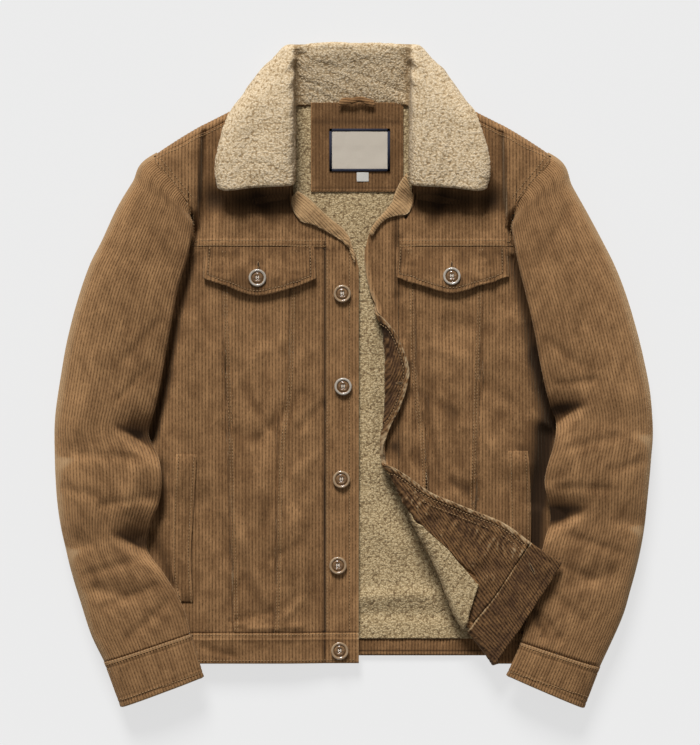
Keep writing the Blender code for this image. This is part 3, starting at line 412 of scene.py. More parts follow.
def run_along(points):
    """How far each point of a line lies from the first, along the line."""
    return np.concatenate([[0], np.cumsum(np.linalg.norm(np.diff(points, axis=0), axis=1))])


def run_across(net, axis):
    """How far each point of a net lies from its first line, along one of the net's axes."""
    steps = np.linalg.norm(np.diff(net, axis=axis), axis=-1)
    return np.insert(np.cumsum(steps, axis=axis), 0, 0, axis=axis)


def unit(vectors):
    """Vectors brought to a length of one."""
    return vectors / np.maximum(np.linalg.norm(vectors, axis=-1, keepdims=True), 1e-9)


def evenly(points, count):
    """That many points at equal steps along a smooth curve through a few."""
    points = np.array(points, float)
    reach = run_along(points)
    dense = along(np.column_stack([reach, points]).tolist(), np.linspace(0, reach[-1], 20 * len(points)))
    run = run_along(dense)
    steps = np.linspace(0, run[-1], count)
    return np.column_stack([np.interp(steps, run, dense[:, i]) for i in range(points.shape[1])])


def folds(x, y, table):
    """The sum of soft ridges, each along a line between two points."""
    total = np.zeros(np.broadcast(x, y).shape)
    for x0, y0, x1, y1, half_width, height in table:
        length = np.hypot(x1 - x0, y1 - y0)
        lengthwise = ((x - x0) * (x1 - x0) + (y - y0) * (y1 - y0)) / length**2
        aside = ((x - x0) * (y1 - y0) - (y - y0) * (x1 - x0)) / length
        past = np.maximum(np.abs(lengthwise - 0.5) - 0.5, 0) * length
        total = total + height * np.exp(-(aside**2 + past**2) / half_width**2)
    return total


def hollow(x, y):
    """How deep the hollows beside the collar and the sleeves are, where the deepest one counts."""
    return np.minimum.reduce([folds(x, y, [row]) for row in HOLLOWS])


def pinched(x, y):
    """How deep the folds at the elbows are."""
    total = np.zeros(np.broadcast(x, y).shape)
    for x0, y0, x1, y1, upper, lower, depth in PINCHES:
        length = np.hypot(x1 - x0, y1 - y0)
        lengthwise = ((x - x0) * (x1 - x0) + (y - y0) * (y1 - y0)) / length**2
        aside = ((y - y0) * (x1 - x0) - (x - x0) * (y1 - y0)) / length * np.sign(x1 - x0)
        before = np.minimum(lengthwise, 0) * length / upper
        fading = 1 - ease(lengthwise)
        half_width = np.where(aside > 0, upper, lower)
        total = total + depth * fading * np.exp(-((aside / half_width) ** 2) - before**2)
    return total


def chance(i, j, seed):
    """A fixed number from 0 to 1 for each pair of whole numbers."""
    n = np.sin(i * 127.1 + j * 311.7 + seed * 74.7) * 43758.5453
    return n - np.floor(n)


def mottle(x, y, seed):
    """Soft unevenness from -1 to 1, whose patches are about a unit across."""
    i, j = np.floor(x), np.floor(y)
    s, t = ease(x - i), ease(y - j)
    low = chance(i, j, seed) * (1 - s) + chance(i + 1, j, seed) * s
    high = chance(i, j + 1, seed) * (1 - s) + chance(i + 1, j + 1, seed) * s
    return 2 * (low * (1 - t) + high * t) - 1


def cords(u):
    """Height of the cords, from 0 in a furrow, at each whole u, to 1 on a crown."""
    return np.abs(np.sin(np.pi * u)) ** 0.8


def hatch(x, y):
    """The cross-hatched nap of the facings."""
    return 0.7 * mottle((x + y) / 2.2, (y - x) / 2.6, 26)


def tufts(u, v, seed):
    """Height of the curls of pile, from 0 between them to 1; u and v count curls."""
    i, j = np.floor(u), np.floor(v)
    height = np.zeros(np.broadcast(u, v).shape)
    for ci in (i - 1, i, i + 1):
        for cj in (j - 1, j, j + 1):
            aside = u - ci - 0.5 - 0.7 * (chance(ci, cj, seed) - 0.5)
            ahead = v - cj - 0.5 - 0.7 * (chance(ci, cj, seed + 1) - 0.5)
            turn = np.pi * chance(ci, cj, seed + 4)
            along_it = (aside * np.cos(turn) + ahead * np.sin(turn)) / 1.1
            across_it = (ahead * np.cos(turn) - aside * np.sin(turn)) / 0.95
            reach = 0.52 + 0.16 * chance(ci, cj, seed + 2)
            dome = np.sqrt(np.clip(1 - (along_it**2 + across_it**2) / reach**2, 0, 1))
            height = np.maximum(height, dome * (0.65 + 0.35 * chance(ci, cj, seed + 3)))
    return height


# The body's form


def inside_edge(x, y):
    """How far a point lies in from the body's outer edge."""
    return along(BODY_EDGE, y) - np.abs(x)


def inside_shoulder(x, y):
    """How far a point lies below the shoulder's outline."""
    return (along(SHOULDER_LINE, np.abs(x)) - y) * SHOULDER_TILT


def armhole_seam(out):
    """y of the armhole seam at a distance from the centre line."""
    (x0, y0), (x1, y1) = ARMHOLE_FOOT, ARMHOLE_TIP
    return y0 + (out - x0) * (y1 - y0) / (x1 - x0)


def shoulder_seam(out):
    """How far the shoulder seam lies in from the outline."""
    return SHOULDER_SEAM + (SHOULDER_SEAM_TIP - SHOULDER_SEAM) * ease((out - 195) / 35)


def pushed_up(x, y):
    """1 on the pushed-up shoulder, 0 on the chest."""
    beyond = (np.abs(x) - along(STEP_EDGE, y)) / STEP_RUN
    over_seam = (y - armhole_seam(np.abs(x))) / np.hypot(1, 1.2)
    return ease(beyond + 0.5) * ease(1 + over_seam / 15)


def chest_height(x, y):
    """Height of the chest, with its broad folds."""
    crown = along(BODY_CROWN, y) + folds(x, y, BODY_FOLDS)
    return CENTRE_HIGH + (crown - CENTRE_HIGH) * ease((np.abs(x) - 12) / 75)


def low_height(x, y):
    """The chest with its sides rounded down to the side seams, and falling away past them."""
    inside = inside_edge(x, y)
    side = 1 - (1 - np.clip(inside / SIDE_ROLL, 0, 1)) ** ROUND
    return SIDE_HIGH + (chest_height(x, y) - SIDE_HIGH) * side + 1.4 * np.minimum(inside, 0)


def front_height(x, y):
    """Height of the fronts' outer face, without creases and seams."""
    share = pushed_up(x, y)
    level = low_height(x, y) * (1 - share) + (chest_height(x, y) + SHOULDER_STEP) * share
    edge = rounding(inside_shoulder(x, y) / SHOULDER_ROLL)
    return SHOULDER_MID + (level - SHOULDER_MID) * edge


def panel_share(y):
    """1 on the panels between the yoke's edge and the hem band's seam, 0 past them."""
    return ease((YOKE_EDGE - y) / 3) * ease((y - HEM_SEAM) / 3)


def felled(past, way, width, high, seed):
    """A seam's doubled band, which starts at 0 past its edge, with puckers between its stitches."""
    band = high * ease(past / 1.0 + 0.5) * (1 - ease((past - width) / 2.5 + 0.5))
    rows = sum(bell(past - at, 0.9) for at in (1.8, width - 1.8))
    pucker = np.sin(2 * np.pi * (way / 11 + 0.5 * mottle(way / 19, 0 * way, seed)))
    return band - 0.55 * rows + 0.35 * pucker * bell(past - width / 2, 8)


def front_seams(x, y):
    """Relief of the fronts' stitched seams."""
    out = np.abs(x)
    below = panel_share(y)
    relief = felled(y - YOKE_EDGE, x, YOKE_BAND, 0.9, 1) * ease((184 - out) / 4)
    relief = relief + felled(along(OUTER_SEAM, y) - out, y, PANEL_BAND, 0.6, 2) * below
    relief = relief + felled(along(INNER_SEAM, y) - out, y, PANEL_BAND, 0.6, 3) * below
    hem = felled(HEM_SEAM - y, x, HEM_BAND, 0.8, 4) + 0.8 * ease(HEM_SEAM - 6 - y)
    return relief + hem


def seam_tone(past, width):
    """How pale a seam's doubled band is rubbed along its two edges, and the painted shade in the grooves
    beside it.
    """
    pale = 1.3 * bell(past - 0.9, 1.3) + 1.1 * bell(past - width + 0.8, 1.3)
    dark = 2.2 * bell(past + 1.4, 1.2) + 0.9 * bell(past - width - 1.6, 1.3)
    return pale - dark


def front_tone(x, y):
    """Painted tone of the fronts, pale above 0 and dark below it: seam edges rubbed pale, painted shade in
    grooves, creases, hollows and shaded places, painted light on ridges.
    """
    out = np.abs(x)
    below = panel_share(y)
    tone = 0.6 * seam_tone(y - YOKE_EDGE, YOKE_BAND) * ease((184 - out) / 4)
    tone = tone + 0.3 * seam_tone(along(OUTER_SEAM, y) - out, PANEL_BAND) * below
    tone = tone + 0.3 * seam_tone(along(INNER_SEAM, y) - out, PANEL_BAND) * below
    tone = tone + 0.6 * seam_tone(HEM_SEAM - y, HEM_BAND)
    # Painted shade in the right placket's seam groove and along its inner row of stitches
    groove = bell(x + SEAM_RIGHT + 1.2, 1.6) * ease((165 - y) / 10)
    row = bell(x - EDGE_RIGHT + PLACKET_ROW, 1.0) * ease((165 - y) / 10)
    # Painted light on the creases' ridges and painted shade in their troughs, in the hollows and in the
    # shaded places
    painted_light_and_wear = np.clip(folds(x, y, BODY_CREASES) / 3, -0.8, 0.8) + hollow(x, y) / 7 + folds(x, y, SHADES)
    return tone + painted_light_and_wear - 2.0 * groove - 0.5 * row


def front_form(x, y):
    """Height of the fronts' outer face."""
    groove = bell(x + SEAM_RIGHT + 1.0, 1.8) * ease((165 - y) / 10)
    row = bell(x - EDGE_RIGHT + PLACKET_ROW, 1.1) * ease((165 - y) / 10)
    creased = folds(x, y, BODY_CREASES) + hollow(x, y)
    return front_height(x, y) + creased + front_seams(x, y) - 1.1 * groove - 0.5 * row


def back_height(x, y):
    """Height of the back's outer face, which lies flat but for its rolled edges."""
    curl = SIDE_HIGH - 2 * CLOTH - GAP
    return curl * (1 - np.clip(inside_edge(x, y) / BACK_ROLL, 0, 1)) ** 2


# The left front's roll


def free_edge(y):
    """Free edge of the left front, if it lay flat."""
    foot = ROLL_LINE[-1]
    share = np.clip((foot[0] - y) / (foot[0] - HEM_FRONT), 0, 1)
    waves = 4 * bell(y + 166, 26) - 6.5 * bell(y + 258, 36)
    below = foot[1] + (EDGE_AT_HEM - foot[1]) * share + waves
    return np.where(y < foot[0], below, along(ROLL_LINE, y)[..., 0])


def corner_fold(y):
    """x of the corner's fold line."""
    return FOLD_START[0] + (y - FOLD_START[1]) * FOLD_WAY[0] / FOLD_WAY[1]


def corner_share(y):
    """0 where the left front rolls along its waved line, 1 where it is folded at the corner."""
    return ease((FOLD_SHARE - y) / 20)


def bend_line(y):
    """x of the line where the left front rolls back."""
    share = corner_share(y)
    return along(ROLL_LINE, y)[..., 1] * (1 - share) + corner_fold(y) * share


def rolled(x, y, n, turned, way, bulge=0.0):
    """A point of the flat front taken round a fold, beyond whose line it lies by turned."""
    angle = np.clip(turned / ROLL, 0, np.pi)
    beyond = (ROLL - n) * np.sin(angle) - np.maximum(turned - np.pi * ROLL, 0)
    shift = np.where(turned > 0, turned - beyond, 0)
    shift = shift - bulge * ease(turned / 4) * (1 - ease((turned - 8) / 36))
    px = x + shift * way[0]
    py = y + shift * way[1]
    lift = CORNER_LIFT * ease((px - 140) / 85) * ease(-(py + 100) / 60) * ease(angle / np.pi)
    bed = front_height(px, py) + folds(px, py, BODY_CREASES)
    pz = bed + ROLL - (ROLL - n) * np.cos(angle) + lift
    return np.stack([px, py, pz], -1)


def turned_back(x, y, n):
    """Where a point of the flat left front lies; n is its height over the outer face."""
    (x0, y0), (dx, dy) = FOLD_START, FOLD_WAY
    upper = rolled(x, y, n, along(ROLL_LINE, y)[..., 1] - x, (1, 0))
    beyond = (x - x0) * dy - (y - y0) * dx
    bulge = FOLD_BULGE * bell(y + beyond * dx - FOLD_BULGE_AT, 42)
    corner = rolled(x, y, n, beyond, (-dy, dx), bulge)
    share = corner_share(y)[..., None]
    return upper * (1 - share) + corner * share


# The sleeves' form


def sleeve_floor(x, y):
    """Height that a sleeve's underside rests at, on the surface or bridging the body's edge."""
    bridged = np.sign(x) * np.maximum(np.abs(x) - SLEEVE_BRIDGE, 0)
    over_hem = ease((y - HEM_FRONT) / SLEEVE_DROP + 1)
    return np.maximum(low_height(bridged, y) + SLEEVE_CLEAR, 0) * over_hem


def sleeve_tone(face):
    """Painted shade on the upper slopes of the folds at the elbows, which face away from the key light,
    painted light on the ridges below them, and the sleeves' listed painted shade.
    """
    x, y = face[..., 0], face[..., 1]
    slope = (pinched(x, y + 2) - pinched(x, y - 2)) / 4
    return np.clip(1.6 * slope, -1.2, 0.7) - 0.03 * pinched(x, y) + folds(x, y, SLEEVE_SHADES)


def sleeve_ring(row, angle, pressed):
    """Points round a sleeve's section; the angle runs from its outer side over the top to its inner side."""
    outer_x, outer_y, inner_x, inner_y, crown = np.moveaxis(np.asarray(row, float)[..., None], -2, 0)
    across = -np.sign(np.cos(angle)) * np.abs(np.cos(angle)) ** (2 / ROUND)
    share = (across + 1) / 2
    x = outer_x + (inner_x - outer_x) * share
    y = outer_y + (inner_y - outer_y) * share
    pinch = pinched(x, y)
    mid = SLEEVE_MID + (sleeve_floor(inner_x, inner_y) + SLEEVE_REST - SLEEVE_MID) * share
    mid = mid - np.minimum(0.35 * pinch, 8) * share
    floor = np.maximum(sleeve_floor(x, y) + hollow(x, y), 0)
    full = np.abs(np.sin(angle)) ** (2 / ROUND)
    top = mid + np.maximum(crown - mid - folds(x, y, pressed) - pinch, 3) * full
    bottom = mid + (floor - mid) * full
    return np.stack([x, y, np.where(np.sin(angle) >= 0, top, bottom)], -1)


# Nets of points


def facings_of(net, up=1):
    """The unit normals of a net of points, which face mostly up, or mostly down with up at -1."""
    normal = unit(np.cross(np.gradient(net, axis=0), np.gradient(net, axis=1)))
    return normal * np.sign(normal[..., 2].sum()) * up


def on_front(x, y, raised=0.0):
    """Points of the fronts' outer face, moved out along its normal."""
    step = 1.5
    slope_x = (front_form(x + step, y) - front_form(x - step, y)) / (2 * step)
    slope_y = (front_form(x, y + step) - front_form(x, y - step)) / (2 * step)
    normal = unit(np.stack([-slope_x, -slope_y, np.ones_like(slope_x)], -1))
    return np.stack([x, y, front_form(x, y)], -1) + normal * np.asarray(raised)[..., None]


def at_height(x, y, z):
    """Points of a net at a height, or at a height each."""
    return np.stack([x, y, np.broadcast_to(z, x.shape)], -1)


def cord_columns(low, high, lines=CORD_LINES):
    """Stations across a cloth, a few to each wale, and its two edges."""
    step = WALE / lines
    inner = np.arange(np.ceil(low / step + 0.3), np.floor(high / step - 0.3) + 1) * step
    return np.concatenate([[low], inner, [high]])


def row_shares(length, step, fine=1.3, margin=12.0):
    """Shares of a length, a step apart, and closer together within a margin of both ends."""
    ends = np.arange(0, margin, fine)
    inner = np.linspace(margin, length - margin, max(int(round((length - 2 * margin) / step)), 2))
    return np.concatenate([ends, inner, length - ends[::-1]]) / length


def columns_net(x, bottom, top, shares):
    """A net of columns, each from a lower to an upper edge."""
    y = bottom[:, None] + (top - bottom)[:, None] * shares[None, :]
    return np.broadcast_to(x[:, None], y.shape).copy(), y


def rows_net(left, right, y, shares):
    """A net of rows, each from a left to a right edge."""
    x = left[None, :] + (right - left)[None, :] * shares[:, None]
    return x, np.broadcast_to(y, x.shape).copy()


def rim(net, sides):
    """How far each point of a net lies in from those of its four sides that are free edges."""
    u, v = run_across(net, 0), run_across(net, 1)
    reach = np.full(net.shape[:2], 1e3)
    for free, far in zip(sides, (u, u[-1:] - u, v, v[:, -1:] - v)):
        if free:
            reach = np.minimum(reach, far)
    return reach


# Materials


def linear(hex_colour):
    """A colour written as sRGB hex, as the linear values that a shader takes."""
    srgb = np.array([int(hex_colour[i : i + 2], 16) for i in (1, 3, 5)]) / 255
    values = np.where(srgb <= 0.04045, srgb / 12.92, ((srgb + 0.055) / 1.055) ** 2.4)
    return (*values.tolist(), 1.0)


def add_node(tree, kind, inputs=(), **settings):
    """Adds a node with its settings. Each of its inputs is given a value, or a socket to link to."""
    made = tree.nodes.new(kind)
    for name, value in settings.items():
        setattr(made, name, value)
    for name, value in dict(inputs).items():
        if isinstance(value, bpy.types.NodeSocket):
            tree.links.new(value, made.inputs[name])
        else:
            made.inputs[name].default_value = value
    return made


def new_material(name, **shader_values):
    """A material whose shader has the values given, its tree and that shader."""
    surface = bpy.data.materials.new(name)
    surface.use_nodes = True
    tree = surface.node_tree
    shader = tree.nodes["Principled BSDF"]
    for socket, value in shader_values.items():
        shader.inputs[socket.replace("_", " ").title().replace("Ior", "IOR")].default_value = value
    return surface, tree, shader


def weave_noise(tree, place, across, lengthwise, detail=2.0):
    """Noise over the weave map, whose patches are so many cords across and so many millimetres long."""
    spot = add_node(
        tree, "ShaderNodeMapping", {"Vector": place, "Scale": (1 / across, 1 / lengthwise, 1.0)},
    ).outputs[0]
    return add_node(
        tree, "ShaderNodeTexNoise", {"Vector": spot, "Scale": 1.0, "Detail": detail, "Roughness": 0.6},
    ).outputs["Fac"]


def blend(tree, share, low, high):
    """A colour between two, each written as hex or taken from a socket."""
    sides = [linear(side) if isinstance(side, str) else side for side in (low, high)]
    return add_node(tree, "ShaderNodeMix", {0: share, 6: sides[0], 7: sides[1]}, data_type="RGBA").outputs[2]


def spread(tree, value, low, high, start=0.0, end=1.0):
    """A value's run from low to high, taken to start and end."""
    inputs = {0: value, 1: low, 2: high, 3: start, 4: end}
    return add_node(tree, "ShaderNodeMapRange", inputs, interpolation_type="LINEAR").outputs[0]


def cotton_corduroy(name, crown, furrow, painted_light_and_wear, shade, sheen=0.6, furrow_wide=0.26, furrow_deep=0.62):
    """Cut-pile cotton corduroy: a soft nap on raised cords, with painted shade in the furrows, and the
    painted light and shade and rubbed edges that the relief attribute carries.
    """
    surface, tree, shader = new_material(
        name, roughness=0.92, metallic=0.0, ior=1.5, specular_ior_level=0.14, sheen_weight=sheen,
        sheen_roughness=0.32, sheen_tint=linear("#d9bf9a"),
    )
    place = add_node(tree, "ShaderNodeUVMap", uv_map="weave").outputs["UV"]
    parts = add_node(tree, "ShaderNodeSeparateXYZ", {0: place})
    cord = add_node(tree, "ShaderNodeMath", {0: parts.outputs[0], 1: 0.5}, operation="PINGPONG").outputs[0]
    crest = add_node(
        tree, "ShaderNodeMapRange", {0: cord, 1: 0.02, 2: furrow_wide}, interpolation_type="SMOOTHSTEP",
    ).outputs[0]
    light_and_wear_tone = add_node(tree, "ShaderNodeAttribute", attribute_name="relief").outputs["Fac"]
    # The nap's tufts are about 1.5 mm across and 2.5 mm long; the tone drifts along each cord, and in
    # streaks and patches where the nap leans another way
    grain = weave_noise(tree, place, 0.45, 2.4, 3.0)
    drift = weave_noise(tree, place, 0.9, 14.0)
    streak = weave_noise(tree, place, 3.0, 70.0)
    patch = weave_noise(tree, place, 5.0, 20.0, 4.0)
    gaps = weave_noise(tree, place, 0.8, 3.8, 4.0)
    brightness = grain
    # The attribute's painted light and shade and the edges' wear shift the tone too
    for value, share in ((drift, 0.55), (streak, 0.8), (patch, 1.5), (light_and_wear_tone, 0.36)):
        brightness = add_node(
            tree, "ShaderNodeMath", {0: value, 1: share, 2: brightness}, operation="MULTIPLY_ADD",
        ).outputs[0]
    level = spread(tree, brightness, 1.51, 2.35)
    pile = blend(tree, level, shade, painted_light_and_wear)
    pile = blend(tree, 0.3, pile, crown)
    # Painted shade in the furrows between the cords, weaker along some of them
    fade = spread(tree, gaps, 0.34, 0.66, 1.0, 1.0 - furrow_deep * 1.5)
    lit = add_node(tree, "ShaderNodeMath", {0: fade, 1: crest}, operation="MAXIMUM").outputs[0]
    tinted = blend(tree, lit, furrow, pile)
    # Paler where the attribute is high, from painted highlights and rubbed edges; near-black painted shade
    # where it is low, in grooves, hollows and shadows
    with_lit_and_rubbed_edges = blend(tree, spread(tree, light_and_wear_tone, 0.9, 1.9), tinted, "#a8906f")
    with_painted_shade = blend(tree, spread(tree, light_and_wear_tone, -0.9, -2.2, 0.0, 0.9), with_lit_and_rubbed_edges, "#24180e")
    tree.links.new(with_painted_shade, shader.inputs["Base Color"])
    height = add_node(tree, "ShaderNodeMath", {0: grain, 1: 1.3, 2: crest}, operation="MULTIPLY_ADD")
    bump = add_node(
        tree, "ShaderNodeBump", {"Height": height.outputs[0], "Distance": 0.45 * MM, "Strength": 0.8},
    )
    tree.links.new(bump.outputs[0], shader.inputs["Normal"])
    return surface


def curly_pile(name, tip, curl, root, size):
    """Knitted polyester pile: matt cream curls, so wide in metres, whose roots lie in brown-grey shade."""
    surface, tree, shader = new_material(
        name, roughness=0.95, metallic=0.0, ior=1.5, specular_ior_level=0.12, sheen_weight=0.2,
        sheen_roughness=0.5, sheen_tint=linear("#efe2cc"),
    )
    place = add_node(tree, "ShaderNodeTexCoord").outputs["Object"]
    # The relief attribute holds the curls' height, and on the collar also its painted shade
    height = add_node(tree, "ShaderNodeAttribute", attribute_name="relief").outputs["Fac"]
    # Threads of the pile, 1 mm across
    thread = add_node(
        tree, "ShaderNodeTexNoise", {"Vector": place, "Scale": 900.0, "Detail": 2.0, "Roughness": 0.6},
    ).outputs["Fac"]
    bent = add_node(
        tree, "ShaderNodeTexNoise", {"Vector": place, "Scale": 260.0, "Detail": 1.0},
    ).outputs["Color"]
    warped = add_node(
        tree, "ShaderNodeVectorMath", {0: bent, 1: (0.0022, 0.0022, 0.0022), 2: place},
        operation="MULTIPLY_ADD",
    ).outputs[0]
    cell = add_node(tree, "ShaderNodeTexVoronoi", {"Vector": warped, "Scale": 1 / size}).outputs["Distance"]
    knot = spread(tree, cell, 0.15, 0.72, 1.0, 0.0)
    clump = add_node(
        tree, "ShaderNodeTexNoise", {"Vector": place, "Scale": 55.0, "Detail": 3.0},
    ).outputs["Fac"]
    level = height
    for value, share in ((thread, 0.5), (clump, 0.7), (knot, 1.2)):
        level = add_node(
            tree, "ShaderNodeMath", {0: value, 1: share, 2: level}, operation="MULTIPLY_ADD",
        ).outputs[0]
    # Painted shade at the roots between the curls
    with_painted_shade = blend(tree, spread(tree, level, 0.75, 1.55), root, curl)
    colour = blend(tree, spread(tree, level, 1.45, 2.35), with_painted_shade, tip)
    tree.links.new(colour, shader.inputs["Base Color"])
    relief = add_node(
        tree, "ShaderNodeMath", {0: thread, 1: 0.6, 2: knot}, operation="MULTIPLY_ADD",
    ).outputs[0]
    bump = add_node(tree, "ShaderNodeBump", {"Height": relief, "Distance": 0.6 * MM, "Strength": 0.7})
    tree.links.new(bump.outputs[0], shader.inputs["Normal"])
    return surface


def plain_material(name, light, dark, size, bump_high, **shader_values):
    """A surface that drifts between two tones, with a fine relief of that size in metres."""
    surface, tree, shader = new_material(name, **shader_values)
    place = add_node(tree, "ShaderNodeTexCoord").outputs["Object"]
    grain = add_node(
        tree, "ShaderNodeTexNoise", {"Vector": place, "Scale": 1 / size, "Detail": 3.0},
    ).outputs["Fac"]
    colour = add_node(tree, "ShaderNodeMix", {0: grain, 6: linear(dark), 7: linear(light)}, data_type="RGBA")
    tree.links.new(colour.outputs[2], shader.inputs["Base Color"])
    bump = add_node(tree, "ShaderNodeBump", {"Height": grain, "Distance": bump_high, "Strength": 0.6})
    tree.links.new(bump.outputs[0], shader.inputs["Normal"])
    return surface


def woven_cloth(name, light, dark, thread):
    """Plain-woven cloth: two sets of threads, thread metres apart, over and under each other."""
    surface, tree, shader = new_material(
        name, roughness=0.8, metallic=0.0, ior=1.5, specular_ior_level=0.3, sheen_weight=0.15,
    )
    place = add_node(tree, "ShaderNodeTexCoord").outputs["Object"]
    heights = []
    for way in ("X", "Y"):
        heights.append(add_node(
            tree, "ShaderNodeTexWave", {"Vector": place, "Scale": 0.314 / thread, "Distortion": 0.4},
            bands_direction=way,
        ).outputs["Fac"])
    weave = add_node(tree, "ShaderNodeMath", {0: heights[0], 1: heights[1]}, operation="MULTIPLY").outputs[0]
    colour = add_node(tree, "ShaderNodeMix", {0: weave, 6: linear(dark), 7: linear(light)}, data_type="RGBA")
    tree.links.new(colour.outputs[2], shader.inputs["Base Color"])
    bump = add_node(tree, "ShaderNodeBump", {"Height": weave, "Distance": 0.15 * MM, "Strength": 0.5})
    tree.links.new(bump.outputs[0], shader.inputs["Normal"])
    return surface


CORDUROY = cotton_corduroy("cotton_corduroy", "#8b6844", "#4c3521", "#a98158", "#64472c")
# Two copies of the cloth's reverse: the dark one, on the turned-back facings, is painted shade, as they face
# away from the light; the pale one is on the neck turns
REVERSE = cotton_corduroy(
    "corduroy_reverse", "#6a4c34", "#301f13", "#8a6740", "#3f2c1c", sheen=0.3, furrow_wide=0.42,
    furrow_deep=0.9,
)
PALE_REVERSE = cotton_corduroy(
    "pale_corduroy_edge", "#a1805a", "#8a6a48", "#b8966c", "#846545", sheen=0.6, furrow_wide=0.3,
    furrow_deep=0.3,
)
PILE_CLOTH = curly_pile("polyester_pile", "#d6c3a6", "#c4ae8c", "#967d5c", 0.0024)
# A darker, browner copy of the pile: partly the lining's own tone, partly painted shade of the recess it lies
# in
LINING_CLOTH = curly_pile("polyester_pile_lining", "#c6b18b", "#a48e69", "#6f5a40", 0.0022)
RESIN = {"metallic": 0.0, "ior": 1.54, "coat_weight": 0.5, "coat_roughness": 0.1}
BUTTON_RESIN = plain_material(
    "polyester_resin_horn", "#8e6d4a", "#523820", 0.004, 0.02 * MM, roughness=0.25, **RESIN,
)
BUTTON_RIM = plain_material(
    "polyester_resin_rim", "#b59c7c", "#7c6248", 0.004, 0.02 * MM, roughness=0.25, **RESIN,
)
# A paler rim: a painted reflection where the rims catch the light
GLINT_RIM = plain_material(
    "polyester_resin_rim_painted_glint", "#c6beb2", "#8a7c6a", 0.003, 0.02 * MM, roughness=0.22, **RESIN,
)
THREAD = plain_material(
    "polyester_sewing_thread", "#a3845c", "#84653f", 0.0012, 0.05 * MM, roughness=0.6, metallic=0.0, ior=1.5,
)
# The pale thread is partly its own colour, partly a painted highlight for the glints on the buttons' middles
BUTTON_THREAD = plain_material(
    "pale_polyester_thread", "#e4dccf", "#bfb09a", 0.0012, 0.05 * MM, roughness=0.45, metallic=0.0, ior=1.5,
)
# Dark beads along each buttonhole's slit stand in for the shade in its opening: painted shade
SLIT = plain_material(
    "buttonhole_shade", "#2a1c11", "#1b120b", 0.002, 0.02 * MM, roughness=0.9, metallic=0.0, ior=1.5,
)
LABEL_WEAVE = woven_cloth("polyester_label_weave", "#e2dace", "#b2a797", 0.0009)
LABEL_EDGE = woven_cloth("navy_label_edge", "#242a42", "#161a2a", 0.0009)
TAB_WEAVE = woven_cloth("white_tape", "#dcdad4", "#b9b5ad", 0.0008)
SEWN = []  # runs of points that stitches follow


# Making pieces


def add_piece(name, mesh, material, *nodes, slot=None):
    """A finished piece in the garment, which stands for the nodes given."""
    mesh.shade_smooth()
    mesh.materials.append(material)
    piece = bpy.data.objects.new(name, mesh)
    bpy.context.scene.collection.objects.link(piece)
    if nodes:
        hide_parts(*nodes)
    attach(piece, "root")
    return piece


def mesh_of(name, bm):
    """A new mesh with what a bmesh holds; the bmesh is freed."""
    mesh = bpy.data.meshes.new(name)
    bm.to_mesh(mesh)
    bm.free()
    return mesh


def flat_slab(across, lengthwise, thin):
    """A slab of squares from -1 to 1, whose lower face keeps only every thin-th line."""
    bm = bmesh.new()
    bmesh.ops.create_grid(bm, x_segments=across - 1, y_segments=lengthwise - 1, size=1)
    lower = bmesh.ops.extrude_face_region(bm, geom=bm.faces[:], use_keep_orig=True)["geom"]
    points = [item for item in lower if isinstance(item, bmesh.types.BMVert)]
    bmesh.ops.translate(bm, verts=points, vec=(0, 0, -1))
    bmesh.ops.recalc_face_normals(bm, faces=bm.faces)
    if thin > 1:
        spare = []
        for edge in bm.edges:
            a, b = (vert.co for vert in edge.verts)
            if a.z > -0.5 or b.z > -0.5:
                continue
            axis, last = (0, across - 1) if abs(a.x - b.x) < 1e-6 else (1, lengthwise - 1)
            line = round((a[axis] + 1) / 2 * last)
            if line % thin and line != last:
                spare.append(edge)
        bmesh.ops.dissolve_edges(bm, edges=spare, use_verts=True)
    return bm


def net_mesh(name, outer, inner, u, v, relief, closed=False, thin=HIDDEN_STEP):
    """The wall between an outer and an inner net of points, with its weave map and its relief attribute,
    which holds the tone that the shaders paint: painted light and shade, wear, and the pile's curls.
    """
    lines = np.cross(np.gradient(outer, axis=0), np.gradient(outer, axis=1))
    if (lines * (outer - inner)).sum() < 0:
        outer, inner, u, v, relief = (item[::-1] for item in (outer, inner, u, v, relief))
    across, lengthwise = outer.shape[:2]
    mesh = mesh_of(name, flat_slab(across, lengthwise, thin))
    flat = np.empty(len(mesh.vertices) * 3, np.float32)
    mesh.vertices.foreach_get("co", flat)
    flat = flat.reshape(-1, 3)
    column = np.rint((flat[:, 0] + 1) / 2 * (across - 1)).astype(int)
    row = np.rint((flat[:, 1] + 1) / 2 * (lengthwise - 1)).astype(int)
    placed = np.where(flat[:, 2:] > -0.5, outer[column, row], inner[column, row]) * MM
    mesh.vertices.foreach_set("co", placed.astype(np.float32).ravel())
    corner = np.empty(len(mesh.loops), np.int32)
    mesh.loops.foreach_get("vertex_index", corner)
    weave = mesh.uv_layers.new(name="weave")
    pairs = np.column_stack([u[column, row], v[column, row]])[corner]
    weave.data.foreach_set("uv", pairs.astype(np.float32).ravel())
    painted_light_and_wear = mesh.attributes.new("relief", "FLOAT", "POINT")
    painted_light_and_wear.data.foreach_set("value", relief[column, row].astype(np.float32))
    if closed:
        bm = bmesh.new()
        bm.from_mesh(mesh)
        bmesh.ops.remove_doubles(bm, verts=bm.verts, dist=0.02 * MM)
        bm.to_mesh(mesh)
        bm.free()
    mesh.update()
    return mesh


def cut_of(net):
    """Width, length and area of the cloth of a net of points, laid out flat, in metres."""
    first, second = np.diff(net, axis=0)[:, :-1], np.diff(net, axis=1)[:-1]
    squares = np.linalg.norm(np.cross(first, second), axis=-1)
    steps = np.linalg.norm(second, axis=-1)
    width = (squares / np.maximum(steps, 1e-6)).sum(0).max() * MM
    return width, steps.sum(1).max() * MM, squares.sum() * MM**2


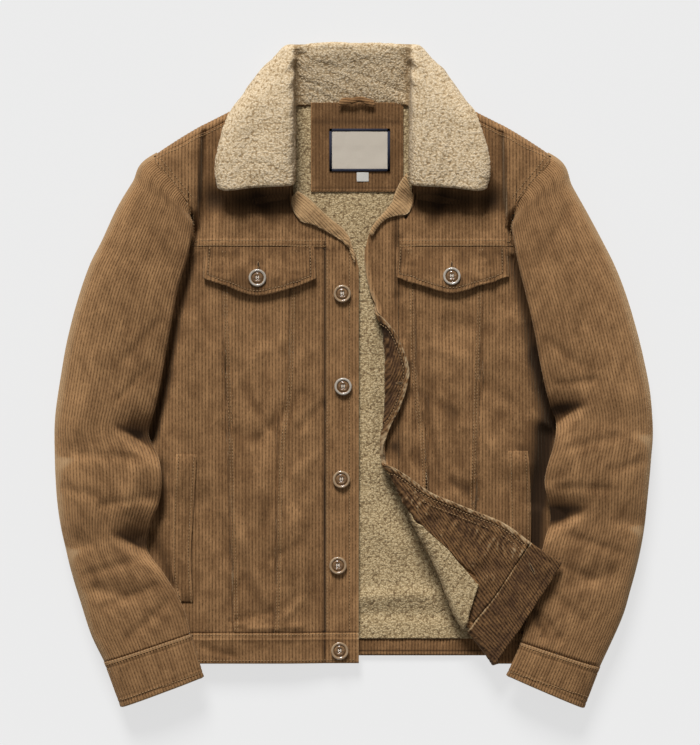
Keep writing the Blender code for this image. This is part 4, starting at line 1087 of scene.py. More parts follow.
def declare_cut(net):
    """Works out the width and length of a sheet's cut from a net of its points; nothing is kept."""
    width, length, area = cut_of(net)
    width, length = max(width, SMALLEST_CUT), max(length, SMALLEST_CUT)


def add_cloth(name, face, normal, wall, look, slot, nodes, u, v, relief, raised, free=(0, 0, 0, 0),
              closed=False, thin=HIDDEN_STEP, edge_wear_and_highlight=EDGE_WEAR_AND_HIGHLIGHT):
    """A cloth wall under a face of points, with its weave raised from it and its free edges rounded off.

    free marks which of the net's four sides are folded or cut edges, and not sewn into a seam.
    """
    reach = rim(face, free)
    edge = rounding(reach / (0.6 * wall))
    # Free edges are paler: partly rubbed nap, partly a painted highlight
    relief = relief + edge_wear_and_highlight * bell(reach, 2.2)
    middle = face - normal * wall / 2
    outer = middle + normal * (wall / 2 * edge + raised * np.minimum(edge + 0.3, 1))[..., None]
    inner = middle - normal * (wall / 2 * edge)[..., None]
    full = np.ones(face.shape[:2])
    mesh = net_mesh(name, outer, inner, u * full, v * full, relief * full, closed, thin)
    piece = add_piece(name, mesh, look, *nodes, slot=slot)
    declare_cut(face)
    return piece


def add_front_cloth(name, node, x, y, wall=CLOTH, raised=0.0, free=(0, 0, 0, 0), relief=0.0,
                    raised_over=0):
    """A piece of corduroy that follows the fronts, with its cords along y."""
    u = x / WALE
    crush = 1 + 0.22 * mottle(np.floor(u) * 0.7, y / 26, 5)
    face = on_front(x, y, raised)
    normal = facings_of(np.stack([x, y, front_height(x, y)], -1))
    # The fronts' painted light and shade, which pieces raised over them leave out
    painted_light_and_wear = front_tone(x, y) * (raised_over == 0) + relief
    return add_cloth(
        name, face, normal, wall, CORDUROY, "corduroy", [node], u, y, painted_light_and_wear,
        CORD_HIGH * (cords(u) * crush - 0.6), free,
    )


# The garment


def add_back():
    """The back, which lies on its outer face, its hem band, and its yoke, which wraps over the shoulders."""
    y = np.linspace(HEM_SEAM_BACK + GAP, YOKE_SEAM - GAP, 52)
    edge = along(BODY_EDGE, y)
    count = int(2 * BODY_EDGE[2][1] / WALE)
    shares = np.linspace(0, 1, 2 * count + 1)
    x, y = rows_net(-edge, edge, y, shares)
    u = np.broadcast_to(shares[:, None] * count, x.shape)
    high = CORD_HIGH * (1 - cords(u))
    outer = at_height(x, y, back_height(x, y) + high)
    inner = at_height(x, y, back_height(x, y) + CLOTH)
    mesh = net_mesh("back_body_cloth", outer, inner, u, y, 0 * x, thin=FLAT_STEP)
    back = add_piece("back_body_cloth", mesh, CORDUROY, "back_body", slot="corduroy")
    declare_cut(inner)

    y = np.linspace(HEM_BACK, HEM_SEAM_BACK, 20)
    edge = along(BODY_EDGE, y)
    shares = np.linspace(0, 1, CORD_LINES * count + 1)
    x, y = rows_net(-edge, edge, y, shares)
    u = np.broadcast_to(shares[:, None] * count, x.shape)
    stitched = 0.5 * bell(y - HEM_SEAM_BACK + 3, 1.2)
    fold = rounding((y - HEM_BACK) / 3)
    top = 1 + (BACK_BAND - 1) * fold - stitched + CORD_HIGH * (cords(u) - 1)
    outer = at_height(x, y, top)
    inner = at_height(x, y, 1 - fold + CORD_HIGH * (1 - cords(u)))
    # Painted shade over the whole band and in the groove of its stitched row, paler along its folded edge
    tone = -0.7 - 1.2 * bell(y - HEM_BACK - 6, 1.0) + 0.9 * bell(y - HEM_BACK - 2.5, 2)
    mesh = net_mesh("back_hem_cloth", outer, inner, u, y, tone, thin=1)
    band = add_piece("back_hem_cloth", mesh, CORDUROY, "back_hem_band", slot="corduroy")
    declare_cut(outer)

    out = cord_columns(0, 234)
    half = np.stack([evenly(shoulder_path(distance), 36) for distance in out])
    face = np.concatenate([half[:0:-1] * (-1, 1, 1), half])
    face[..., 2] = np.maximum(face[..., 2], 0)
    normal = facings_of(face, -1)
    u = face[..., 0] / WALE
    v = np.broadcast_to(run_along(face[len(out)]), u.shape)
    lift = CORD_HIGH * (cords(u) - 1)
    inner = face - normal * (CLOTH - 0.2)
    mesh = net_mesh("back_yoke_cloth", face + normal * lift[..., None], inner, u, v, 0 * u + 0.15)
    yoke = add_piece("back_yoke_cloth", mesh, CORDUROY, "back_yoke", slot="corduroy")
    declare_cut(face)


def shoulder_path(out):
    """The back yoke's line at a distance from the centre: along the floor, then over the shoulder."""
    foot = YOKE_SEAM if out < 190 else armhole_seam(out)
    if out < 80:
        neck = along([(0, NECK_SEAM), (40, NECK_SEAM + 1), (74, NECK_SEAM + 6)], out)
        return [(out, y, 0) for y in np.linspace(foot, neck, 6)]
    outline = along(SHOULDER_LINE, out)
    depth = (outline - foot) * SHOULDER_TILT
    under = depth * (1 - np.linspace(0, 1, 9)) ** 2
    path = [
        (out, outline - depth / SHOULDER_TILT, SHOULDER_MID * (1 - rounding(depth / SHOULDER_ROLL)))
        for depth in under
    ]
    for share in (0.05, 0.18, 0.5, 1):
        y = outline - (shoulder_seam(out) - 2 * GAP) * share / SHOULDER_TILT
        path.append((out, y, front_height(out, y)))
    return path


def add_lining():
    """The pile lining of the back, fine where it shows between the fronts, and what is sewn on it."""
    shown = (-70, 165)
    y = np.linspace(LINING_FOOT, NECK_SEAM, LINING_ROWS)
    by_height = [(high, out) for out, high in SHOULDER_LINE]
    edge = np.minimum(along(BODY_EDGE, y) - LINING_IN, along(by_height, y + 32) - 6)
    edge = np.minimum(edge, 70 + (np.maximum(edge, 70) - 70) * ease((300 - y) / 25))
    x = np.concatenate([
        np.linspace(-235, shown[0] - 9, 12), np.arange(*shown, LINING_LINE),
        np.linspace(shown[1] + 9, 235, 6),
    ])
    x = np.clip(x[:, None], -edge, edge)
    y = np.broadcast_to(y, x.shape)
    pile = tufts(x / TUFT, y / TUFT, 11)
    base = CLOTH + GAP + PILE - 0.5
    sway = 0.5 * mottle(x / 17, y / 21, 12) + folds(x, y, LINING_FOLDS)
    outer = at_height(x, y, base + sway + TUFT_HIGH * (pile - 0.5))
    inner = at_height(x, y, CLOTH + GAP)
    mesh = net_mesh("back_lining_pile", outer, inner, x / TUFT, y / TUFT, pile, thin=FLAT_STEP)
    lining = add_piece("back_lining_pile", mesh, LINING_CLOTH, "back_lining", slot="pile_cloth")
    declare_cut(at_height(x, y, base))

    top = CLOTH + GAP + PILE + GAP + FACING
    low_x, low_y, high_x, high_y = NECK_FACING
    x = cord_columns(low_x, high_x)
    ends = [np.full_like(x, end) for end in (low_y, high_y)]
    x, y = columns_net(x, *ends, row_shares(high_y - low_y, 5))
    dip = 0.5 * bell(y - 298, 1.2) + 0.35 * bell(y - low_y - 4, 1.0)
    face = at_height(x, y, top + 0.5 * mottle(x / 30, y / 40, 6) - dip)
    # The facing is painted dark as the shade of the collar, darker still in its seams' grooves
    add_cloth(
        "neck_facing_cloth", face, facings_of(face), FACING, CORDUROY, "corduroy_reverse", ["neck_facing"],
        x / WALE, y, -1.0 - 0.9 * dip, CORD_HIGH * 0.8 * (cords(x / WALE) - 0.6),
        (1, 1, 1, 0),
    )
    add_tape("label", LABEL, top + GAP + 0.8, LABEL_WALL, LABEL_WEAVE, "label_cloth")
    add_tape("size_tab", SIZE_TAB, top + GAP + 0.7, TAB_WALL, TAB_WEAVE, "tab_cloth")
    low_x, low_y, high_x, high_y = LABEL
    border = LABEL_BORDER
    sides = (
        (low_x, low_y, high_x, low_y + border), (low_x, high_y - border, high_x, high_y),
        (low_x, low_y, low_x + border, high_y), (high_x - border, low_y, high_x, high_y),
    )
    bm = bmesh.new()
    for x0, y0, x1, y1 in sides:
        corner = bmesh.ops.create_cube(bm, size=1)["verts"]
        bmesh.ops.scale(bm, verts=corner, vec=((x1 - x0 + 0.4) * MM, (y1 - y0 + 0.4) * MM, 0.5 * MM))
        middle = ((x0 + x1) / 2 * MM, (y0 + y1) / 2 * MM, (top + GAP + 1.0) * MM)
        bmesh.ops.translate(bm, verts=corner, vec=middle)
    add_piece("label_border", mesh_of("label_border", bm), LABEL_EDGE, slot="label_cloth")

    low_x, low_y, high_x, high_y = HANGER_LOOP
    share = np.linspace(0, 1, 60)[:, None]
    around = np.linspace(0, np.pi, 15)[None, :]
    half = (high_y - low_y) / 2 * (1 + 0.16 * np.sin(9 * share))
    middle_y = (low_y + high_y) / 2 - 1.5 + 5.0 * np.sin(np.pi * share) ** 0.8 + 0.9 * np.sin(13 * share)
    x = low_x + (high_x - low_x) * share + 0 * around
    y = middle_y - half * np.cos(around)
    arch = LOOP_ARCH * np.sin(np.pi * share)
    face = np.stack([x, y, LOOP_HIGH + arch + 2.6 * np.sin(around)], -1)
    u = y / REVERSE_WALE + x / 30
    add_cloth(
        "hanger_loop_cloth", face, facings_of(face), CLOTH, CORDUROY, "corduroy", ["hanger_loop"],
        u, x, 0.5 * mottle(x / 6, y / 3, 25) - 0.6, 0.3 * (cords(u) - 0.5),
        (1, 1, 1, 1), thin=1, edge_wear_and_highlight=0.5,
    )


def add_tape(node, corners, top, wall, look, slot):
    """A small flat rectangle of tape, its edges turned under."""
    low_x, low_y, high_x, high_y = corners
    x, y = np.meshgrid(np.linspace(low_x, high_x, 28), np.linspace(low_y, high_y, 20), indexing="ij")
    face = at_height(x, y, top + 0.25 * mottle(x / 9, y / 8, 8))
    add_cloth(
        f"{node}_tape", face, facings_of(face), wall, look, slot, [node], x / 3, y / 3,
        0 * x, 0 * x, (1, 1, 1, 1),
    )


def add_front_panels():
    """Side, middle and inner panels of both fronts, from the hem band's seam to the yoke's edge."""
    foot, head = HEM_SEAM + 0.2, YOKE_EDGE - 0.2
    widest = max(out for _, out in BODY_EDGE) - 0.5
    for side, sign in (("right", -1), ("left", 1)):
        out = cord_columns(139.2, widest, FINE_LINES)
        low = np.where(out < along(BODY_EDGE, foot), foot, reaches(BODY_EDGE, out, -345, -216))
        high = np.where(out < 154, reaches(OUTER_SEAM, out, HEM_SEAM, YOKE_SEAM), head)
        high = np.where(out > 190, 175.0, np.minimum(high, head))
        high = np.where(out > 193, reaches(BODY_EDGE, out, -216, 175), high)
        add_panel(f"{side}_front_side", sign * out, low, high)

        out = cord_columns(70.2, 153.8, FINE_LINES)
        low = np.where(out > 139, reaches(OUTER_SEAM, out, HEM_SEAM, YOKE_SEAM), foot)
        if side == "left":
            low = np.maximum(low, fold_y(out))
        low = np.clip(low, foot, head - 1)
        high = np.full_like(out, head)
        low = np.where(out < 92, reaches_below(out, side), low)
        add_panel(f"{side}_front_middle", sign * out, low, high)

        if side == "right":
            out = cord_columns(SEAM_RIGHT + 0.2, 91.8, FINE_LINES)
            low = np.full_like(out, foot)
        else:
            out = cord_columns(SEAM_LEFT + 0.2, 86, FINE_LINES)
            low = np.maximum(fold_y(out), foot)
        high = np.where(out > 70, reaches(INNER_SEAM, out, HEM_SEAM, YOKE_SEAM), head)
        high = np.minimum(high, head)
        add_panel(f"{side}_front_inner", sign * out, np.minimum(low, high - 0.5), high)


def reaches_below(out, side):
    """The middle panel's lower edge near its inner seam, where that seam slants out towards the hem."""
    seam = reaches(INNER_SEAM, out, HEM_SEAM, YOKE_SEAM)
    low = np.where(out > 91.9, HEM_SEAM + 0.2, seam)
    if side == "left":
        low = np.maximum(low, fold_y(out))
    return np.clip(low, HEM_SEAM + 0.2, YOKE_EDGE - 1)


def fold_y(out):
    """y of the corner's fold line at a distance from the centre line."""
    return FOLD_START[1] + (out - FOLD_START[0]) * FOLD_WAY[1] / FOLD_WAY[0]


def add_panel(node, x, low, high):
    """One panel of a front, in columns from its lower to its upper edge."""
    shares = row_shares(YOKE_EDGE - HEM_SEAM, 4.0)
    x, y = columns_net(x, low, high, shares)
    add_front_cloth(f"{node}_cloth", node, x, y)


def add_front_yokes():
    """The fronts above the yoke's edge: to the neckline, the shoulder seam and the armhole seam."""
    for side, sign, neck, placket in (
        ("right", -1, NECK_RIGHT, SEAM_RIGHT), ("left", 1, NECK_LEFT, SEAM_LEFT),
    ):
        out = cord_columns(placket + 0.2, 230)
        slant = TIP_SLANT * ease((out - 196) / 34)
        bottom = np.where(out < 190, YOKE_EDGE, armhole_seam(out + slant) + GAP)
        seam = along(SHOULDER_LINE, out) - shoulder_seam(out) / SHOULDER_TILT
        top = np.where(out < 76, along(neck, out), seam)
        x, y = columns_net(sign * out, bottom, top, row_shares(120, 4.0))
        share = (y - bottom[:, None]) / (top - bottom)[:, None]
        x = x + sign * slant[:, None] * (1 - share)
        add_front_cloth(f"{side}_front_yoke_cloth", f"{side}_front_yoke", x, y)
        sewn = out > 84
        SEWN.append(on_front(sign * out[sewn], top[sewn] - 3.4))
        sewn = out > 184
        for inset in (2.6, 8.0):
            SEWN.append(on_front(x[sewn, 0] - sign * inset * 0.6, bottom[sewn] + inset * 0.8))


def add_right_placket():
    """The right front's button band, with its free edge towards the middle."""
    x = cord_columns(-SEAM_RIGHT + 0.2, EDGE_RIGHT)
    x, y = columns_net(x, np.full_like(x, HEM_SEAM + 0.2), along(NECK_RIGHT, -x), row_shares(430, 4.0))
    add_front_cloth(
        "right_placket_cloth", "right_placket", x, y, BAND, 0.5, (0, 1, 0, 0),
    )


def add_hem_bands():
    """The fronts' hem bands; the left one ends at the corner's fold."""
    for side, low, high in (("right", -252, EDGE_RIGHT), ("left", 150, 252)):
        x = cord_columns(low, high)
        edge = along(BODY_EDGE, -320)
        if side == "left":
            bottom = np.maximum(fold_y(x), HEM_FRONT)
            top = np.full_like(x, HEM_SEAM)
            keep = x > corner_fold(HEM_SEAM) + 0.5
            x, bottom, top = x[keep], bottom[keep], top[keep]
        else:
            bottom, top = np.full_like(x, HEM_FRONT), np.full_like(x, HEM_SEAM)
        x = np.clip(x, -edge, edge)
        x, y = columns_net(x, bottom, top, row_shares(36, 3.0, 1.4, 9))
        free = (0, 1, 1, 0) if side == "right" else (0, 0, 1, 0)
        add_front_cloth(
            f"{side}_hem_cloth", f"{side}_hem_band", x, y, BAND, 0.5, free,
        )


def strip_net(y, lines, last=None):
    """Points of the turned-back strip, at shares of the way from its free edge to its fold, then to last."""
    edge = free_edge(y)
    line = np.maximum(bend_line(y), edge + 4)
    x = edge + (line - edge) * np.asarray(lines)[:, None]
    if last is not None:
        more = np.linspace(0, 1, 40)[1:, None]
        x = np.concatenate([x, line + (last - line) * more])
    return x, np.broadcast_to(y, x.shape)


def add_turned_cloth(name, node, x, y, top, wall, look, slot, raised, relief, free, u=None):
    """A layer of the turned-back front, from one height over its outer face down to a lower one."""
    full = np.ones_like(x)
    face = turned_back(x, y, full * top)
    back = turned_back(x, y, full * (top - wall))
    normal = unit(face - back)
    u = x / WALE if u is None else u
    if top < -1:
        face, normal = back, -normal
    return add_cloth(
        name, face, normal, wall, look, slot, [node], u, y,
        relief, raised, free, edge_wear_and_highlight=0.4,
    )


def add_left_edge():
    """The left placket with its rolled edge, the turned-back corner, and the inside that shows on it."""
    y = np.linspace(PLACKET_FOOT, 150, 78)
    x, y = strip_net(y, np.linspace(0, 1, 30), SEAM_LEFT - 0.2)
    y = y + ease((y - 100) / 50) * (along(NECK_LEFT, x) - 150)
    raised = CORD_HIGH * (cords(x / WALE) - 0.6)
    inset = x - x[:1]
    # Pale along the rolled free edge, with painted shade in its stitches' groove, in the shaded places and in
    # the groove beside the roll
    tone = 0.9 * (1 - ease((inset - 4) / 1.6)) - 0.9 * bell(inset - 7, 1.2) + folds(x, y, SHADES)
    tone = tone + 0.3 * mottle(x / 9, y / 16, 18) - 1.4 * bell(x - 51, 3.5) * ease((y - 60) / 30)
    add_turned_cloth(
        "left_placket_cloth", "left_placket", x, y, 0, CLOTH, CORDUROY, "corduroy", raised, tone,
        (1, 0, 0, 0),
    )
    y = np.linspace(HEM_FRONT, PLACKET_FOOT, 60)
    x, y = strip_net(y, np.linspace(0, 1, 90))
    raised = CORD_HIGH * (cords(x / WALE) - 0.6)
    add_turned_cloth(
        "left_turn_cloth", "left_front_turn", x, y, 0, CLOTH, CORDUROY, "corduroy", raised, 0.1,
        (1, 0, 1, 0),
    )
    inside = -(CLOTH + GAP)
    y = np.linspace(HEM_FRONT, HEM_FACING_TOP, 44)
    x, y = strip_net(y, np.linspace(0, 1, 120))
    inset = np.minimum(x - x[:1], y - HEM_FRONT)
    groove = bell(inset - 7.0, 1.0) + 0.7 * bell(y + 298.5, 1.0)
    raised = 0.35 * cords(y / REVERSE_WALE) - 0.6 * groove + 0.6 * mottle(x / 8, y / 9, 13)
    # Painted shade in the grooves of the stitches and the seam, pale along the facing's top edge
    tone = 0.35 * mottle(x / 7, y / 8, 13) + hatch(x, y)
    tone = tone - 0.9 * groove - 0.2 + 1.6 * bell(y + 295, 1.3)
    add_turned_cloth(
        "left_hem_facing_cloth", "left_hem_facing", x, y, inside, FACING, REVERSE, "corduroy_reverse", raised,
        tone, (1, 0, 1, 0), (x + FACING_SLANT * y) / FACING_WALE,
    )
    y = np.linspace(FACING_FOOT, 98, 200)
    edge = free_edge(y)
    line = np.maximum(bend_line(y), edge + 4)
    last = line + (np.minimum(along(FACING_EDGE, y), line - 2) - line) * ease((LINING_TOP - y) / 8)
    last = last + 0.7 * (line - last) * ease((-262 - y) / 14)
    x = edge + (last - edge) * np.linspace(0, 1, 66)[:, None]
    y = np.broadcast_to(y, x.shape)
    inset = x - edge
    puckers = 1.0 * mottle(x / 9, y / 7, 9) + 0.5 * mottle(x / 4, y / 5, 10)
    groove = bell(inset - 7.0, 1.0) + 0.6 * bell(inset - 16.0, 1.0)
    away = ease(inset / 12)
    # Short creases that run in from the free edge
    crossing = np.sin(2 * np.pi * (y / 9.5 + 0.8 * mottle(x / 14, y / 16, 23)))
    gathers = np.clip(crossing + 0.2, -1, 1) * bell(inset - 24, 13) * ease((-125 - y) / 20)
    gathers = gathers * (1.2 + mottle(x / 17, y / 13, 24))
    broad = mottle((x + 0.5 * y) / 26, (y - 0.5 * x) / 17, 19)
    raised = 0.3 * cords(x / REVERSE_WALE) * cords(y / 2.4) + (0.8 * puckers + 1.3 * broad) * away
    raised = raised - 0.6 * groove + 0.9 * (1 - ease((inset - 4.6) / 2.0)) + 0.7 * gathers
    edge_tone = 0.95 + 0.5 * mottle(x / 5, y / 5, 22)
    # Painted light on the puckers, broad folds and gathers and painted shade between them, painted shade in
    # the grooves, and a pale free edge
    tone = (0.5 * puckers + 0.5 * broad) * away - 0.9 * groove + edge_tone * (1 - ease((inset - 3.8) / 1.6))
    tone = tone + 0.6 * gathers + hatch(x, y) + 0.1
    # Painted shade on the upper facing, and near the neck the painted shadow that the rolled edge throws
    tone = tone - 0.4 * ease((y + 60) / 60) * ease((80 - y) / 30) * (inset > 6)
    tone = tone - 1.8 * ease((y - 30) / 25) * (inset > 5)
    add_turned_cloth(
        "left_facing_cloth", "left_facing", x, y, inside, FACING, REVERSE, "corduroy_reverse", raised, tone,
        (1, 0, 0, 0), (x + FACING_SLANT * y) / FACING_WALE,
    )
    for inset in (6.8, 13.5):
        run = np.linspace(-292, 60 if inset < 8 else -150, 260)
        SEWN.append(turned_back(free_edge(run) + inset, run, np.full_like(run, inside - FACING - 0.2)))
    y = np.linspace(FACING_FOOT, LINING_TOP - GAP, 90)
    line = bend_line(y)
    reach = np.minimum(along(FACING_EDGE, y) + 0.3, line - 1.7) - line + 1.6
    first = line - 1.6 + reach * ease((LINING_TOP - y) / 8)
    share = np.linspace(0, 1, 60)[:, None]
    x = first + (line - first) * share
    y = y + 22 * (1 - share) * ease((-215 - y) / 80)
    pile = tufts(x / TUFT, y / TUFT, 21)
    full = ease((LINING_TOP - y) / 18)
    add_turned_cloth(
        "left_lining_pile", "left_lining", x, y, inside, PILE, LINING_CLOTH, "pile_cloth",
        TUFT_HIGH * (pile - 0.5) * full - (PILE - FACING) * (1 - full), pile, (0, 0, 0, 0), x / TUFT,
    )


def add_neck_turns():
    """The turned-out corners of the neckline, which show their inner side."""
    for side, table in (("right", NECK_TURN_RIGHT), ("left", NECK_TURN_LEFT)):
        rows = evenly(table, 80)
        share = np.linspace(0, 1, 24)
        x = rows[:, 2:3] + (rows[:, 0:1] - rows[:, 2:3]) * share
        y = rows[:, 3:4] + (rows[:, 1:2] - rows[:, 3:4]) * share
        rise = GAP + CLOTH + 1.2 + 1.4 * np.sin(np.pi * share) + 0.4 * share + 0 * x
        face = on_front(x, y, rise)
        normal = facings_of(face)
        u = (x + y) / 4.4
        raised = 0.3 * (cords(u) - 0.5) + 0.5 * mottle(x / 5, y / 5, 14)
        add_cloth(
            f"{side}_neck_turn_cloth", face, normal, CLOTH, PALE_REVERSE, "corduroy_reverse",
            [f"{side}_neck_turn"], u, x - y, 0.3 + 0 * x, raised,
            (1, 1, 1, 1),
        )


def add_collar():
    """One piece of doubled pile cloth round the neck, its fall spread over both shoulders."""
    around, across = COLLAR_ROUND, COLLAR_ACROSS
    sections = np.stack([evenly(points, across) for points in COLLAR])
    table = np.column_stack([np.arange(len(COLLAR)), sections.reshape(len(COLLAR), -1)]).tolist()
    half = along(table, np.linspace(0, len(COLLAR) - 1, around // 2)).reshape(around // 2, across, 3)
    face = np.concatenate([half, half[-2::-1] * (-1, 1, 1)])
    face[..., 2] = np.maximum(face[..., 2], 0)
    normal = facings_of(face)
    wall = np.where(face[..., 2] > 12, COLLAR_WALL, COLLAR_WALL * TUCK_SHARE)
    u, v = run_across(face, 0), run_across(face, 1)
    pile = tufts((face[..., 0] + 0.8 * face[..., 2]) / TUFT, (face[..., 1] + 0.4 * face[..., 2]) / TUFT, 31)
    reach = rim(face, (1, 1, 0, 1))
    soft = rounding(reach / 5.5)
    middle = face - normal * (wall / 2)[..., None]
    sway = 0.8 * mottle(u / 24, v / 19, 32) + 0.5 * mottle(u / 9, v / 9, 33)
    calm = 1 - 0.75 * bell(np.abs(face[..., 0]) - 69, 4) * (face[..., 1] > 300)
    outer = middle + normal * (wall / 2 * soft + (sway + TUFT_HIGH * (pile - 0.5)) * calm)[..., None]
    # Curls stand out past the edge too
    outward = unit(np.gradient(face, axis=1))
    outer += outward * (1.0 * (pile - 0.4) * bell(reach, 3) * (v > v[:, -1:] / 2))[..., None]
    inner = middle - normal * (wall / 2 * soft)[..., None]
    outer[..., 2] = np.maximum(outer[..., 2], 0.1)
    inner[..., 2] = np.maximum(inner[..., 2], 0)
    # Painted shade: the stand lies in the shade of the roll at both of its sides, and the pile is darker
    # along the neck seam
    stand = ease((70 - np.abs(face[..., 0])) / 3) * ease((36 - face[..., 2]) / 8)
    shaded = pile - 0.9 * bell(v, 3.5) - 0.75 * stand * bell(np.abs(face[..., 0]) - 68, 8) - 0.1 * stand
    mesh = net_mesh("collar_pile", outer, inner, u / TUFT, v / TUFT, shaded, thin=HIDDEN_STEP + 1)
    collar = add_piece("collar_pile", mesh, PILE_CLOTH, "collar", slot="pile_cloth")
    declare_cut(face)


def ring_angles(row, pressed, count, low, high):
    """Angles between two limits that part a sleeve's section into equal lengths."""
    dense = np.linspace(low, high, 400)
    ring = sleeve_ring(np.asarray(row)[None], dense, pressed)[0]
    run = run_along(ring)
    return np.interp(np.linspace(0, run[-1], count), run, dense), run[-1]


def sleeve_face(table, stations, angle, pressed):
    """A net of points on a sleeve, and their normals, which face out of it."""
    def net(k, a):
        return sleeve_ring(along(table, k), a, pressed).swapaxes(0, 1)

    step = 0.03
    lengthwise = net(stations + step, angle) - net(stations - step, angle)
    around = net(stations, angle + step) - net(stations, angle - step)
    face = net(stations, angle)
    normal = unit(np.cross(lengthwise, around))
    middle = net(stations, np.array([0, np.pi])).mean(0)
    return face, normal * np.sign(((face - middle) * normal).sum(-1, keepdims=True))


def add_sleeves():
    """Each sleeve's top and under piece, which meet along its outer and inner side, and its cuff."""
    for side, sign, rows, cuff, elbow, creases in (
        ("right", -1, SLEEVE_RIGHT, CUFF_RIGHT, ELBOW_RIGHT, CREASES_RIGHT),
        ("left", 1, SLEEVE_LEFT, CUFF_LEFT, ELBOW_LEFT, CREASES_LEFT),
    ):
        pressed = elbow + creases
        last = len(rows) - 1
        table = [(-TUCK_ROW, sign * 229.5, 261.4, sign * 182, 199, 34.5)]
        table += [(k, *row) for k, row in enumerate(rows)]
        for part, start in (("top", 0), ("under", np.pi)):
            low, high = start + 0.001, start + np.pi - 0.001
            _, girth = ring_angles(rows[MIDDLE_ROW], [], 10, low, high)
            wales = int(round(girth / SLEEVE_WALE))
            angle, _ = ring_angles(rows[MIDDLE_ROW], [], CORD_LINES * wales + 1, low, high)
            stations = np.linspace(-TUCK_ROW, last, SLEEVE_ROWS[part])
            if part == "under":
                close = [np.linspace(*window, 10) for window in PINCHED_ROWS]
                stations = np.unique(np.round(np.concatenate([stations, *close]), 3))
            face, normal = sleeve_face(table, stations, angle, pressed)
            u = np.broadcast_to(np.arange(len(angle))[:, None] / CORD_LINES, face.shape[:2])
            v = run_across(face, 1)
            crush = 1 + 0.22 * mottle(np.floor(u) * 0.7, v / 26, 15)
            # Painted shade in the creases and painted light on the ridges, the elbows' painted light and
            # shade, and a painted highlight along the top piece's outer side
            painted_light_and_wear = np.clip(-folds(face[..., 0], face[..., 1], pressed) / 5, -1, 1) + sleeve_tone(face)
            painted_light_and_wear = np.minimum(painted_light_and_wear + 1.5 * bell(angle[:, None], 1.0), 1.3)
            add_cloth(
                f"{side}_sleeve_{part}_cloth", face, normal, CLOTH, CORDUROY, "corduroy",
                [f"{side}_sleeve_{part}_{length}" for length in LENGTHS],
                u, v, painted_light_and_wear, CORD_HIGH * (cords(u) * crush - 0.6),
            )
        table.append((last + 1, *cuff))
        angle, _ = ring_angles(cuff, [], CORD_LINES * CUFF_WALES + 1, 0, 2 * np.pi)
        stations = np.linspace(last + CUFF_GAP, last + 1, 46)
        face, normal = sleeve_face(table, stations, angle, [])
        u = np.broadcast_to(np.arange(len(angle))[:, None] / CORD_LINES, face.shape[:2])
        v = run_across(face, 1)
        length = v[:, -1:]
        rows_of_stitches = bell(v - 7.5, 1.1) + bell(length - v - 7.0, 1.1)
        rows_of_stitches = rows_of_stitches + 0.7 * bell(length - v - 12.0, 1.1)
        raised = CORD_HIGH * (cords(u) - 0.6) + 0.7 - 0.5 * rows_of_stitches
        # Painted shade in the grooves of the stitched rows, paler along the seam with the sleeve
        tone = 0.2 - 0.6 * rows_of_stitches + 1.2 * bell(v - 1.2, 1.4)
        add_cloth(
            f"{side}_cuff_cloth", face, normal, BAND, CORDUROY, "corduroy", [f"{side}_cuff"],
            u, v, tone, raised, (0, 0, 0, 1), closed=True,
        )
        upper = np.arange(6, len(angle) // 2 - 4)
        for inset, from_end in ((3.0, False), (7.0, True)):
            at = inset if not from_end else length.min() - inset
            where = np.argmin(np.abs(v[upper] - at), axis=1)
            SEWN.append((face + normal * 0.7)[upper, where])


def flap_rise(y):
    """Height of a flap's face over the front: it comes out from under the yoke and lifts towards its tip."""
    fall = (FLAP_TOP - y) / 55
    return 0.3 + (CLEAR + FLAP_WALL + 1.4) * ease(fall * 1.4) + 1.6 * ease((fall - 0.5) * 2)


def add_flaps_and_welts():
    """The two button flaps of the chest and the slanted welts of the hand pockets."""
    for side, edge in (("right", FLAP_RIGHT), ("left", FLAP_LEFT)):
        x = cord_columns(edge[0][0], edge[-1][0])
        x, y = columns_net(x, along(edge, x), np.full_like(x, FLAP_TOP), row_shares(50, 2.2, 1.0, 8))
        rise = flap_rise(y)
        below = y - along(edge, x)
        aside = np.minimum(x - edge[0][0], edge[-1][0] - x)
        nearest = np.minimum(below * 0.95, aside)
        stitched = bell(nearest - 6.0, 0.9)
        rise = rise - 0.5 * stitched + 0.25 * mottle(x / 11, y / 9, 17)
        # Darker than the fronts, with painted shade in the groove of the stitched row
        tone = -0.8 + 0.5 * mottle(x / 8, y / 11, 27) - 0.8 * stitched
        add_front_cloth(
            f"{side}_pocket_flap_cloth", f"{side}_pocket_flap", x, y,
            FLAP_WALL, rise, (1, 1, 1, 0), tone, raised_over=1,
        )
        aside = np.concatenate([edge[:1], evenly(edge, 60), edge[-1:]])
        outline = [(aside[0, 0] + 6, FLAP_TOP)] + [(px, py + 6.4) for px, py in aside[1:-1]]
        outline.append((aside[-1, 0] - 6, FLAP_TOP))
        outline = np.array(outline)
        outline[:, 0] = np.clip(outline[:, 0], edge[0][0] + 6, edge[-1][0] - 6)
        SEWN.append(on_front(outline[:, 0], outline[:, 1], flap_rise(outline[:, 1]) + 0.2))
    for side, table in (("right", WELT_RIGHT), ("left", WELT_LEFT)):
        y = np.linspace(table[0][0], table[-1][0], 60)
        low, high = along(table, y).T
        x, y = rows_net(low, high, y, np.linspace(0, 1, FINE_LINES * WELT_WALES + 1))
        from_end = np.minimum(y - y.min(), y.max() - y)
        rise = 0.6 + (CLEAR + WELT_WALL - 0.6) * ease((from_end + 1) / 12)
        add_front_cloth(
            f"{side}_pocket_welt_cloth", f"{side}_pocket_welt", x, y,
            WELT_WALL, rise, (1, 1, 0, 0), -0.5, raised_over=1,
        )
        for inset in (0.14, 0.86):
            SEWN.append(on_front(low + (high - low) * inset, y[0], CLEAR + WELT_WALL))


